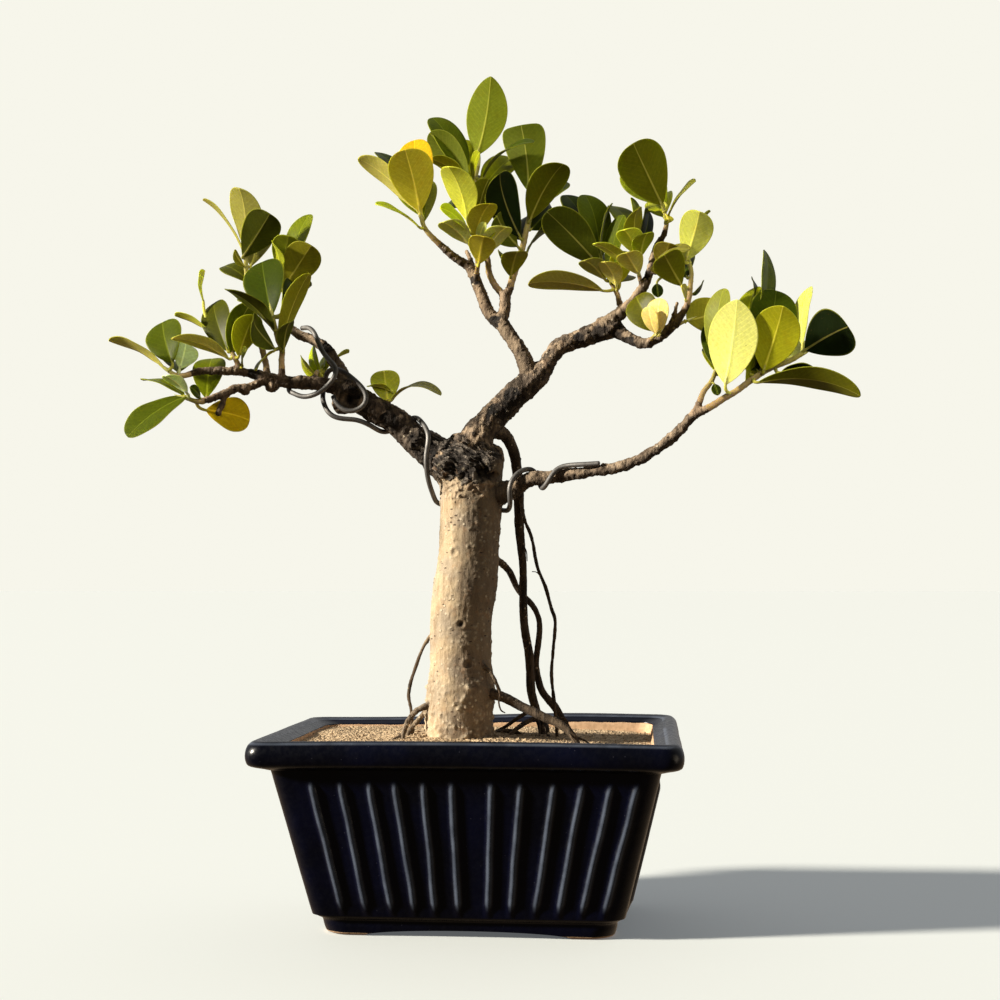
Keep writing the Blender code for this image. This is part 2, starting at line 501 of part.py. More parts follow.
def rim_of(vert, other):
    """The far edges, as pairs of points, of the faces round vert that don't touch other."""
    return {frozenset(v for v in face.verts if v is not vert)
            for face in vert.link_faces if other not in face.verts}


def can_join(vert, other):
    """Whether the skin stays closed and no face turns over when vert is drawn to other."""
    shared = ({edge.other_vert(vert) for edge in vert.link_edges}
              & {edge.other_vert(other) for edge in other.link_edges})
    if len(shared) != 2 or rim_of(vert, other) & rim_of(other, vert):
        return False
    if not all(edge.is_manifold for edge in (*vert.link_edges, *other.link_edges)):
        return False
    for face in vert.link_faces:
        if other in face.verts:
            continue
        corners = [v.co for v in face.verts]
        moved = [other.co if v is vert else v.co for v in face.verts]
        before = (corners[1] - corners[0]).cross(corners[2] - corners[0])
        after = (moved[1] - moved[0]).cross(moved[2] - moved[0])
        if after.length < 1e-12 or before.dot(after) < 0.5 * before.length * after.length:
            return False
    return True


def without_slivers(item, least):
    """Draws together the ends of edges shorter than least mm wherever the skin stays closed."""
    bm = bmesh.new()
    bm.from_mesh(item.data)
    bmesh.ops.triangulate(bm, faces=bm.faces)
    found = True
    while found:
        found = False
        for edge in sorted(bm.edges, key=lambda e: e.calc_length()):
            if not edge.is_valid or edge.calc_length() > least * MM:
                continue
            for vert, other in (edge.verts, reversed(edge.verts)):
                if can_join(vert, other):
                    bmesh.ops.weld_verts(bm, targetmap={vert: other})
                    found = True
                    break
            if found:
                break
    bm.to_mesh(item.data)
    bm.free()


def shade(item, material_used, angle=40.0):
    item.data.materials.clear()
    item.data.materials.append(material_used)
    item.data.shade_smooth()
    item.data.set_sharp_from_angle(angle=math.radians(angle))


# Pot and soil

def plan_ring(size, corner, steps=3):
    """Points round a rectangle with rounded corners, anticlockwise, in mm."""
    half_x, half_y = size[0] / 2 - corner, size[1] / 2 - corner
    found = []
    for quarter, (sx, sy) in enumerate(((1, 1), (-1, 1), (-1, -1), (1, -1))):
        for k in range(steps + 1):
            turn = math.radians(90 * (quarter + k / steps))
            found.append((POT_X + sx * half_x + corner * math.cos(turn),
                          sy * half_y + corner * math.sin(turn)))
    return found


def loft(sections, warp=None):
    """A closed solid through (size, corner, z) rings, capped at both ends."""
    bm = bmesh.new()
    rows = []
    for size, corner, z in sections:
        row = []
        for x, y in plan_ring(size, corner):
            lift = warp(x, y, z) if warp else 0.0
            row.append(bm.verts.new((x * MM, y * MM, (z + lift) * MM)))
        rows.append(row)
    for low, high in zip(rows, rows[1:]):
        for i in range(len(low)):
            j = (i + 1) % len(low)
            bm.faces.new((low[i], low[j], high[j], high[i]))
    bm.faces.new(rows[0])
    bm.faces.new(rows[-1])
    return bm


def grown(size, by):
    return (size[0] + 2 * by, size[1] + 2 * by)


def between(low, high, share):
    return (low[0] + (high[0] - low[0]) * share, low[1] + (high[1] - low[1]) * share)


def rim_warp(x, y, z):
    """The hand-pressed rim bows up along the back, most at its right, and a little at mid front."""
    share = max(0.0, (z - 60.0) / (POT_HEIGHT - 60.0))
    front = math.cos(math.pi * x / RIM[0]) * max(0.0, -y / RIM[1] * 2)
    bow = 3.0 * math.exp(-((x - 38.0) / 65.0) ** 2) + 1.6 * max(0.0, x / RIM[0] * 2) ** 2
    return share * (front + bow * max(0.0, y / RIM[1] * 2))


def cavity_sections(shrink):
    """The inside of the pot, bottom to top, drawn in by shrink."""
    inner_foot, inner_neck = grown(BODY_FOOT, -WALL), grown(NECK, -WALL)
    neck_z = POT_HEIGHT - RIM_DEPTH
    return [(grown(inner_foot, -4 - shrink), CORNER - 4, FLOOR_TOP + shrink),
            (grown(inner_foot, -shrink), CORNER - 3, FLOOR_TOP + 4 + shrink),
            (grown(inner_neck, -shrink), CORNER - 2, neck_z),
            (grown(inner_neck, 3 - shrink), CORNER - 1, POT_HEIGHT - 3)]


def make_pot(collection, helpers):
    neck_z = POT_HEIGHT - RIM_DEPTH
    under = grown(FOOT, -FOOT_WALL)
    cavity = cavity_sections(0.0)
    sections = [
        (grown(under, -1), CORNER - 4, 4), (under, CORNER - 4, 0),
        (grown(FOOT, -2.5), CORNER + 3, 0), (grown(FOOT, -0.6), CORNER + 3, 2.5),
        (grown(FOOT, 0.5), CORNER + 2, 7), (grown(FOOT, 2.4), CORNER, 8.8),
        (grown(BODY_FOOT, -0.8), CORNER, 11.5),
        (grown(BODY_FOOT, 0.8), CORNER, 15.5), (NECK, CORNER, neck_z - 1.5),
        (grown(NECK, 2.2), CORNER, neck_z + 0.6), (grown(RIM, -2.2), CORNER, neck_z + 2.4),
        (grown(RIM, -0.4), CORNER, neck_z + 4.6), (RIM, CORNER, neck_z + 8.5),
        (grown(RIM, -1.0), CORNER, POT_HEIGHT - 1.8), (grown(RIM, -3.2), CORNER - 1, POT_HEIGHT),
        (grown(RIM, -8.2), CORNER - 2, POT_HEIGHT - 0.2), *reversed(cavity)]
    pot = place("pot", finish_mesh(loft(sections, rim_warp), "pot"), collection)
    ribs = new_collection("ribs")
    add_ribs(ribs)
    boolean(pot, "UNION", ribs, "MANIFOLD")
    for side in (-1, 1):
        boolean(pot, "DIFFERENCE", drill(helpers, POT_X + side * DRAIN_OFFSET))
    for across, width in ((True, FOOT[0] - 44), (False, FOOT[1] - 44)):
        boolean(pot, "DIFFERENCE", arch_cutter(helpers, across, width))
    return pot


def wall_point(share, height_z):
    """Half the body's outer size at a height, in X when share is 0 and in Y when it is 1."""
    t = (height_z - 15.5) / (POT_HEIGHT - RIM_DEPTH - 1.5 - 15.5)
    size = between(grown(BODY_FOOT, 0.8), NECK, t)
    return size[share] / 2


def ridge(name, stations, out, collection):
    """A bar with a kite-shaped section, through (point, half width, rise) stations on a wall."""
    bm = bmesh.new()
    rows = []
    for point, half, rise in stations:
        aside = Vector((-out.y, out.x, 0))
        corners = (point + aside * half, point + out * rise, point - aside * half,
                   point - out * RIB_SINK)
        rows.append([bm.verts.new(corner * MM) for corner in corners])
    for low, high in zip(rows, rows[1:]):
        for i in range(4):
            j = (i + 1) % 4
            bm.faces.new((low[i], low[j], high[j], high[i]))
    bm.faces.new(rows[0])
    bm.faces.new(rows[-1])
    return place(name, finish_mesh(bm, name), collection)


def add_ribs(ribs):
    low, high = RIB_SPAN

    def rib(name, foot, top, out):
        stations = []
        for z, share in ((low, 0.0), (low + 5, 1.0), (high - 7, 1.0), (high, 0.0)):
            along = foot + (top - foot) * (z - low) / (high - low)
            wall = wall_point(0 if out.x else 1, z) - 0.3
            aside = Vector((-out.y, out.x, 0))
            point = out * wall + aside * along + Vector((POT_X, 0, z))
            stations.append((point, RIB_WIDTH / 2 * (0.4 + 0.6 * share), RIB_RISE * share + 0.1))
        ridge(name, stations, out, ribs)

    for i, (foot, top) in enumerate(zip(FRONT_RIB_FEET, FRONT_RIB_TOPS)):
        rib(f"rib_front_{i}", foot, top, Vector((0, -1, 0)))
        rib(f"rib_back_{i}", foot, top, Vector((0, 1, 0)))
    for i in range(SIDE_RIBS):
        share = (i + 0.5) / SIDE_RIBS * 2 - 1
        for side in (-1, 1):
            rib(f"rib_side_{side}_{i}", share * 42, share * 56, Vector((side, 0, 0)))


def drill(helpers, x):
    bm = bmesh.new()
    bmesh.ops.create_cone(bm, cap_ends=True, segments=20, radius1=DRAIN_RADIUS * MM,
                          radius2=DRAIN_RADIUS * MM, depth=30 * MM)
    bmesh.ops.translate(bm, verts=bm.verts, vec=(x * MM, 0, 5 * MM))
    return hidden(place("drain_cutter", finish_mesh(bm, "drain_cutter"), helpers))


def arch_cutter(helpers, across, width):
    """A flattened bar that leaves low arches between the corner feet on two opposite sides."""
    bm = bmesh.new()
    bmesh.ops.create_cone(bm, cap_ends=True, segments=24, radius1=1, radius2=1,
                          depth=2 * FOOT[0] * MM)
    bmesh.ops.scale(bm, verts=bm.verts, vec=(width / 2 * MM, FOOT_ARCH * MM, 1))
    bmesh.ops.rotate(bm, verts=bm.verts, matrix=Matrix.Rotation(math.radians(90), 3, "X"))
    if not across:
        bmesh.ops.rotate(bm, verts=bm.verts, matrix=Matrix.Rotation(math.radians(90), 3, "Z"))
    bmesh.ops.translate(bm, verts=bm.verts, vec=(POT_X * MM, 0, 0))
    return hidden(place("arch_cutter", finish_mesh(bm, "arch_cutter"), helpers))


def hidden(item):
    item.hide_render = True
    item.display_type = "WIRE"
    return item


def soil_height(x, y):
    """The soil is banked round the trunk, rises to the back and sinks to the right."""
    mound = 3.0 * math.exp(-((x + 10) ** 2 + y ** 2) / 40.0 ** 2)
    roll = 0.8 * noise.noise(Vector((x / 22.0, y / 22.0, 3.0)))
    return SOIL_TOP + mound + roll + y / 75.0 * 1.2 - max(0.0, x - 30) / 60.0 * 2.2


def make_soil(collection, helpers, woods):
    bm = bmesh.new()
    bmesh.ops.create_grid(bm, x_segments=12, y_segments=8, size=0.5)
    for vert in bm.verts:
        x, y = vert.co.x * 214, vert.co.y * 160
        vert.co = (x * MM, y * MM, soil_height(x, y) * MM)
    top = list(bm.faces)
    grown_faces = bmesh.ops.extrude_face_region(bm, geom=top)["geom"]
    for item in grown_faces:
        if isinstance(item, bmesh.types.BMVert):
            item.co.z = 0.0
    soil = place("soil", finish_mesh(bm, "soil"), collection)
    floor = SCREEN_THICKNESS + 2 * GAP
    inside = cavity_sections(GAP)
    inside[0] = (inside[0][0], inside[0][1], FLOOR_TOP + floor)
    fill = place("soil_fill", finish_mesh(loft(inside, rim_warp), "soil_fill"), helpers)
    boolean(soil, "INTERSECT", hidden(fill), "MANIFOLD")
    holes = new_collection("soil_holes")
    for name, route, sides_step in woods:
        # A many-sided hole round a bar clears the bar's corners at its flats.
        sides = 4 + 2 * sides_step
        room = [(x, y, z, (radius + HOLE_GAP) / math.cos(math.pi / sides))
                for x, y, z, radius in route if z < 125]
        for end, inner in ((0, 1), (-1, -2)):
            tip, before = Vector(room[end][:3]), Vector(room[inner][:3])
            if tip.z < 86:
                room[end] = (*(tip + (tip - before).normalized() * HOLE_GAP), room[end][3])
        hidden(tube("hole_" + name, room, sides_step, holes))
    boolean(soil, "DIFFERENCE", holes, "MANIFOLD")
    return soil


def make_screen(name, x, collection, helpers):
    """A square of mesh over a drain hole, which holds the soil back."""
    bm = bmesh.new()
    bmesh.ops.create_cube(bm, size=1.0)
    bmesh.ops.scale(bm, verts=bm.verts,
                    vec=(SCREEN_SIZE * MM, SCREEN_SIZE * MM, SCREEN_THICKNESS * MM))
    height = FLOOR_TOP + GAP + SCREEN_THICKNESS / 2
    bmesh.ops.translate(bm, verts=bm.verts, vec=(x * MM, 0, height * MM))
    screen = place(name, finish_mesh(bm, name), collection)
    holes = new_collection(name + "_holes")
    pitch = SCREEN_SIZE / 4
    for i in (-1, 1):
        for j in (-1, 1):
            bm = bmesh.new()
            bmesh.ops.create_cube(bm, size=SCREEN_HOLE * MM)
            bmesh.ops.translate(bm, verts=bm.verts,
                                vec=((x + i * pitch) * MM, j * pitch * MM, height * MM))
            hidden(place("mesh_hole", finish_mesh(bm, "mesh_hole"), holes))
    boolean(screen, "DIFFERENCE", holes, "MANIFOLD")
    return screen


# Tree

def seat_of(shoot):
    """The flat seat of a shoot and the direction in which its stem leaves it."""
    seat = Vector(shoot.stem[0])
    return seat, (Vector(shoot.stem[1]) - seat).normalized()


def bark_radius(point, radius):
    """Old wood is a little uneven."""
    return radius * (1 + 0.035 * noise.noise(Vector(point) / 9.0))


def uneven(item, rise):
    """Pushes a surface in and out by a soft noise, in mm."""
    bm = bmesh.new()
    bm.from_mesh(item.data)
    bm.normal_update()
    moves = [(v, v.normal.copy()) for v in bm.verts if v.co.z > 80 * MM]
    for vert, normal in moves:
        vert.co += normal * rise * MM * noise.noise(vert.co / (7.0 * MM))
    bm.to_mesh(item.data)
    bm.free()


def make_tree(collection):
    """Trunk, branches and roots grew as one. The soil holes follow the routes that go down."""
    grown_wood = new_collection("wood")
    trunk_route = [(*p[:3], bark_radius(p[:3], p[3])) for p in TRUNK]
    tree = tube("tree", trunk_route, 5, collection)
    uneven(tree, 1.1)
    woods = [("trunk", [(x, y, z, radius + 0.8) for x, y, z, radius in trunk_route], 5)]
    for name, route in BRANCHES.items():
        thick = max(p[3] for p in route)
        sides_step = 3 if thick > 9 else 2 if thick > 5.5 else 1
        made = tube(name, [(*p[:3], bark_radius(p[:3], p[3])) for p in route],
                    sides_step, grown_wood)
        uneven(made, 0.05 * thick)
    for name, route in ROOTS.items():
        sides_step = 1 if max(p[3] for p in route) > 1.6 else 0
        tube("root_" + name, route, sides_step, grown_wood)
        if route[-1][2] < 90 or route[0][2] < 90:
            woods.append(("root_" + name, route, sides_step))
    for i, (x, y, z, radius) in enumerate(KNOTS):
        bm = bmesh.new()
        bmesh.ops.create_icosphere(bm, subdivisions=1, radius=radius * MM)
        bmesh.ops.translate(bm, verts=bm.verts, vec=(x * MM, y * MM, z * MM))
        place(f"knot_{i}", finish_mesh(bm, f"knot_{i}"), grown_wood)
    for name, shoot in SHOOTS.items():
        seat, out = seat_of(shoot)
        thick = shoot.radius * 1.15
        spur = [(*shoot.start, thick * 1.1), (*(seat - 1.6 * out), thick), (*seat, thick)]
        tube("spur_" + name, spur, 0, grown_wood)
    boolean(tree, "UNION", grown_wood, "MANIFOLD")
    lightened(tree, TREE_SHARE)
    return tree, woods


# Leaves

def blade_half_width(u):
    """Share of the half width at u along the blade: wedge base, widest past the middle, round tip."""
    return math.sin(math.pi * u ** 1.25) ** 0.72


def blade(spec, root, name, collection):
    """A folded, arched sheet with its flat stalk, which starts in the stem at root."""
    along = spec.tip - spec.base
    length = along.length
    along.normalize()
    to_viewer = Vector((0, -1, 0))
    up = to_viewer - along * to_viewer.dot(along)
    up = Matrix.Rotation(math.radians(spec.face), 3, along) @ up.normalized()
    side = along.cross(up)
    width = spec.width or BLADE_WIDTH * length
    stations = next(rows for least, rows in STATIONS.items() if length >= least)
    bm = bmesh.new()

    def vert(u, across, least=0.0):
        half = max(least, width / 2 * blade_half_width(u))
        point = spec.base + along * (length * u)
        point += up * (spec.arch * length * 4 * u * (1 - u) + spec.fold * half * abs(across))
        return bm.verts.new((point + side * (half * across)) * MM)

    rows = [[vert(u, across) for across in (-1, 0, 1)] for u in stations]
    if (root - spec.base).length > SHORT_STALK:
        rows.insert(0, [vert(0.03, across, STALK_WIDTH / 2) for across in (-1, 0, 1)])
    first, last = bm.verts.new(root * MM), vert(1.0, 0)
    for i in (0, 1):
        bm.faces.new((first, rows[0][i], rows[0][i + 1]))
        bm.faces.new((last, rows[-1][i + 1], rows[-1][i]))
        for low, high in zip(rows, rows[1:]):
            if i == 0:
                bm.faces.new((low[0], high[0], high[1]))
                bm.faces.new((low[0], high[1], low[1]))
            else:
                bm.faces.new((low[1], high[1], low[2]))
                bm.faces.new((high[1], high[2], low[2]))
    sheet = place(name, finish_mesh(bm, name), collection)
    shell = sheet.modifiers.new("thickness", "SOLIDIFY")
    shell.thickness = BLADE_THICKNESS * MM
    shell.offset = 0.0
    return sheet


def nearest_on(route, point):
    """The nearest point of a stem's centre line, a little inside its end."""
    tail = (Vector(route[-2]) - Vector(route[-1])).normalized() * STALK_SINK
    route = [*route[:-1], Vector(route[-1]) + tail]
    best = None
    for a, b in zip(route, route[1:]):
        a, b = Vector(a), Vector(b)
        share = max(0.0, min(1.0, (point - a).dot(b - a) / (b - a).length_squared))
        here = a.lerp(b, share)
        if best is None or (here - point).length < (best - point).length:
            best = here
    return best


def make_shoot(name, shoot, collection):
    """A leafy stem: its base is flat and lies a gap off its seat on the wood."""
    seat, out = seat_of(shoot)
    stem = [tuple(seat + GAP * out)] + shoot.stem[1:]
    radii = [shoot.radius * (1 - 0.35 * i / (len(stem) - 1)) for i in range(len(stem))]
    body = tube(name, [(*p, r) for p, r in zip(stem, radii)], 1, collection)
    parts = new_collection(name + "_leaves")
    for i, spec in enumerate(shoot.leaves):
        blade(spec, nearest_on(stem[1:], spec.base), f"{name}_blade_{i}", parts)
    boolean(body, "UNION", parts, "MANIFOLD")
    without_slivers(body, SLIVER)
    return body


def wood_segments():
    """Each stretch of wood near the wires as (a, b, radius at a, radius at b)."""
    found = []
    for route in (TRUNK, *BRANCHES.values(), ROOTS["tall"]):
        for p, q in zip(route, route[1:]):
            found.append((Vector(p[:3]), Vector(q[:3]), p[3], q[3]))
    for x, y, z, radius in KNOTS:
        found.append((Vector((x, y, z)), Vector((x, y, z + 0.01)), radius, radius))
    return found


def pushed_clear(point, segments):
    """Moves a wire's point out of the wood, so that the wire lies on the bark."""
    point = point.copy()
    for _ in range(WIRE_PUSHES):
        for a, b, radius_a, radius_b in segments:
            share = max(0.0, min(1.0, (point - a).dot(b - a) / (b - a).length_squared))
            away = point - a.lerp(b, share)
            radius = radius_a + (radius_b - radius_a) * share
            room = radius * BARK_SWELL + WIRE_RADIUS + WIRE_GAP
            if away.length < room:
                point += away.normalized() * (room - away.length)
    return point


def spaced(points, step):
    """Points a step apart along a finely drawn route."""
    found = [points[0]]
    for point in points[1:-1]:
        if (point - found[-1]).length >= step:
            found.append(point)
    found.append(points[-1])
    return found


def make_wire(name, route, collection):
    segments = wood_segments()
    points = [pushed_clear(point, segments) for point in spaced(rounded(route, 8), WIRE_STEP)]
    return tube(name, [(*p, WIRE_RADIUS) for p in points], 1, collection)


def main():
    clear_scene()
    parts = new_collection("bonsai tree in a pot")
    helpers = new_collection("cutters")
    glaze = material("navy glaze", (0.006, 0.009, 0.035), 0.25)
    earth = material("sandy soil", (0.42, 0.29, 0.16), 0.95)
    bark = material("tan bark", (0.36, 0.25, 0.16), 0.85)
    green = material("leaf green", (0.16, 0.24, 0.03), 0.35)
    metal = material("aluminium wire", (0.30, 0.30, 0.31), 0.4, 1.0)
    plastic = material("black mesh", (0.02, 0.02, 0.02), 0.6)

    shade(make_pot(parts, helpers), glaze, 50)
    tree, woods = make_tree(parts)
    shade(tree, bark, 60)
    shade(make_soil(parts, helpers, woods), earth, 30)
    for side, word in ((-1, "left"), (1, "right")):
        name = "drain_screen_" + word
        shade(make_screen(name, POT_X + side * DRAIN_OFFSET, parts, helpers), plastic, 30)
    for name, shoot in SHOOTS.items():
        shade(make_shoot(name, shoot, parts), green, 40)
    for name, route in WIRES.items():
        shade(make_wire(name, route, parts), metal, 60)


main()
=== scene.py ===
"""The looks of the fig bonsai: finer pot, soil, tree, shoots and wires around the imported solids.

Every number in the tables is in millimetres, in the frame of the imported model: the origin is on
the surface that the pot stands on, +X is to the right and +Y is to the back.
"""

import json
import math
from collections import namedtuple

import bmesh
import bpy
import numpy as np
from mathutils import Matrix, Vector, kdtree, noise

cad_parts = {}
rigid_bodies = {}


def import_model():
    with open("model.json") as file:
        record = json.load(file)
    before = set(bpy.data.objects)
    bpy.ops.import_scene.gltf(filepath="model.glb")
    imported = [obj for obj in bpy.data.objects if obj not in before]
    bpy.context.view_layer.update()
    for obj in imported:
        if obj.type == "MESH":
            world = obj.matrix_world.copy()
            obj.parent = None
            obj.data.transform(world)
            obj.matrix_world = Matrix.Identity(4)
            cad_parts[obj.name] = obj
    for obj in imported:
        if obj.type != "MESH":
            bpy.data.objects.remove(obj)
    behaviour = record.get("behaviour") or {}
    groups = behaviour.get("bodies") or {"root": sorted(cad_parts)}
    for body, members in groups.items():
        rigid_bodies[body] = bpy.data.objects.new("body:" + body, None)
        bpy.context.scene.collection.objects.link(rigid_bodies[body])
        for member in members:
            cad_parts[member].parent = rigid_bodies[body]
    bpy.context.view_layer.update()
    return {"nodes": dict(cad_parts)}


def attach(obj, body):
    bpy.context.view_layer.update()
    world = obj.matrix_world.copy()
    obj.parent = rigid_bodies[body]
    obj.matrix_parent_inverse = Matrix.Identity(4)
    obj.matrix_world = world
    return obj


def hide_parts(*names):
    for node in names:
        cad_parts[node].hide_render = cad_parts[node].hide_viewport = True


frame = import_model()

MM = 0.001

# The camera that took the photograph
FOCAL_PX = 1577.0
PHOTO_WIDTH = 1000
SENSOR = 36.0
EYE = (0.0795, -0.7928, 0.1647)   # metres
TURN = 0.0878                # sine of the camera's turn to the left
TILT = 3.16                  # degrees up

# The light falls from the left. The room is dim in front of the plant and bright behind it.
KEY_FROM = (-0.934, -0.330, 0.36)
KEY_POWER = 8.4
KEY_SOFTNESS = 6             # degrees
BOUNCE_POWER = 2.0
LEAF_FILL_POWER = 18.0
ROOM_DIM = 0.07
ROOM_BRIGHT = 0.45
BACKDROP = (0.93, 0.92, 0.83)
FLOOR_REACH = 60000

# Pot and soil, as in the solids
POT_HEIGHT = 93.0
POT_X = -2.0
RIM = (204.0, 150.0)
RIM_DEPTH = 14.0
RIM_CREST = 92.2             # the height of a pale band on the rim's top edge: glaze worn thin, and painted highlight
NECK = (182.5, 132.0)
BODY_FOOT = (151.0, 101.0)
FOOT = (141.0, 91.0)
FOOT_WALL = 9.0
FOOT_ARCH = 3.0
ARCH_INSET = 44              # what an arch leaves of the foot's length
WALL = 6.0
TALL = 20                    # a taller step of the profile is straight
FLOOR_TOP = 10.0
CORNER = 9.0
DRAIN_RADIUS = 6.5
DRAIN_OFFSET = 36.0
RIB_WIDTH = 5.2
RIB_RISE = 1.7
RIB_SPAN = (13.0, 76.5)
FRONT_RIB_TOPS = (-71.5, -57.5, -44.0, -32.0, -18.5, -5.0, 13.5, 27.0, 42.5, 55.5, 69.0, 81.0)
FRONT_RIB_FEET = (-58.5, -47.0, -35.0, -24.0, -14.5, -3.5, 10.5, 21.0, 32.5, 43.5, 54.0, 64.5)
SIDE_RIBS = 7
SOIL_TOP = 88.0
SOIL_FLOOR = 12.0
SOIL_GAP = 0.35
SOIL_STEPS = (130, 90)
GRAIN_COUNT = 1500

# Wires
WIRE_RADIUS = 1.25
WIRE_GAP = 0.35
WIRE_PUSHES = 6
BARK_SWELL = 1.04

# Bark
VOXEL = 0.5
SCAR_LOW, SCAR_HIGH = 216.0, 238.0
SCAR_ROUNDS = 110            # of smoothing, which level the scar's stumps
DOTS, NODULES, LUMPS = 620, 480, 520

# Leaves
BLADE_WIDTH = 0.54
WEDGE = 0.85                 # how the blade widens from its base
ROUND = 0.48                 # how it closes at its tip: less is blunter
BLADE_THICK = 0.55
STEM_RINGS = 3.4
ROWS = 26
ACROSS = (-1, -0.95, -0.84, -0.68, -0.5, -0.32, -0.17, -0.07, 0,
          0.07, 0.17, 0.32, 0.5, 0.68, 0.84, 0.95, 1)
STALK_TONE = (0.50, 0.46, 0.10)
STEM_TONES = ((0.30, 0.20, 0.10), (0.33, 0.30, 0.08))
BUD_TONE = (0.55, 0.52, 0.16)
# How far past a stem's end each ring of its bud is, and the ring's radius
BUD = ((-1, 0.9), (0.4, 1.1), (2.0, 1.05), (4.0, 0.7), (6.0, 0.3), (7.2, 0.08))
# Linear colours of the upper side and of the underside. Besides the leaves' own colours, the tones
# carry painted light: each leaf's tone was set to how bright that leaf looked, so the palest tones
# are partly painted sunlight and the darkest partly painted shade.
TONES = {
    "green": ((0.060, 0.078, 0.003), (0.150, 0.175, 0.010)),
    "deep": ((0.030, 0.045, 0.002), (0.100, 0.120, 0.008)),
    "dark": ((0.014, 0.022, 0.001), (0.060, 0.068, 0.005)),
    "black": ((0.005, 0.009, 0.001), (0.006, 0.011, 0.002)),
    "bright": ((0.120, 0.145, 0.003), (0.260, 0.290, 0.014)),
    "lime": ((0.220, 0.240, 0.005), (0.330, 0.320, 0.010)),
    "pale": ((0.180, 0.210, 0.020), (0.420, 0.430, 0.080)),
    "cream_green": ((0.455, 0.475, 0.105), (0.590, 0.590, 0.170)),
    "olive": ((0.090, 0.090, 0.003), (0.200, 0.185, 0.010)),
    "olive_dark": ((0.050, 0.055, 0.002), (0.120, 0.120, 0.005)),
    "olive_pale": ((0.150, 0.160, 0.020), (0.300, 0.280, 0.060)),
    "grey_green": ((0.070, 0.090, 0.012), (0.130, 0.150, 0.012)),
    "tan": ((0.130, 0.120, 0.020), (0.320, 0.270, 0.050)),
    "brown": ((0.070, 0.060, 0.005), (0.190, 0.155, 0.020)),
    "ochre": ((0.270, 0.185, 0.003), (0.410, 0.345, 0.026)),
    "yellow": ((0.600, 0.370, 0.010), (0.750, 0.520, 0.030)),
    "cream": ((0.660, 0.510, 0.170), (0.720, 0.640, 0.280)),
    "aqua": ((0.420, 0.520, 0.220), (0.620, 0.730, 0.420)),
    "leaf_light": ((0.360, 0.440, 0.012), (0.540, 0.550, 0.060)),
    "tan_light": ((0.260, 0.230, 0.040), (0.560, 0.510, 0.120)),
}

Leaf = namedtuple("Leaf", "tone base tip face width arch fold end")
Shoot = namedtuple("Shoot", "start stem radius leaves")


def leaf(tone, x, y, z, tip_x, tip_y, tip_z, face, width=None, arch=0.07, fold=0.16, end=ROUND):
    """A blade from its base to its tip. Face 0 turns its upper side to -Y and 180 turns it away."""
    return Leaf(tone, Vector((x, y, z)), Vector((tip_x, tip_y, tip_z)), face, width, arch, fold, end)


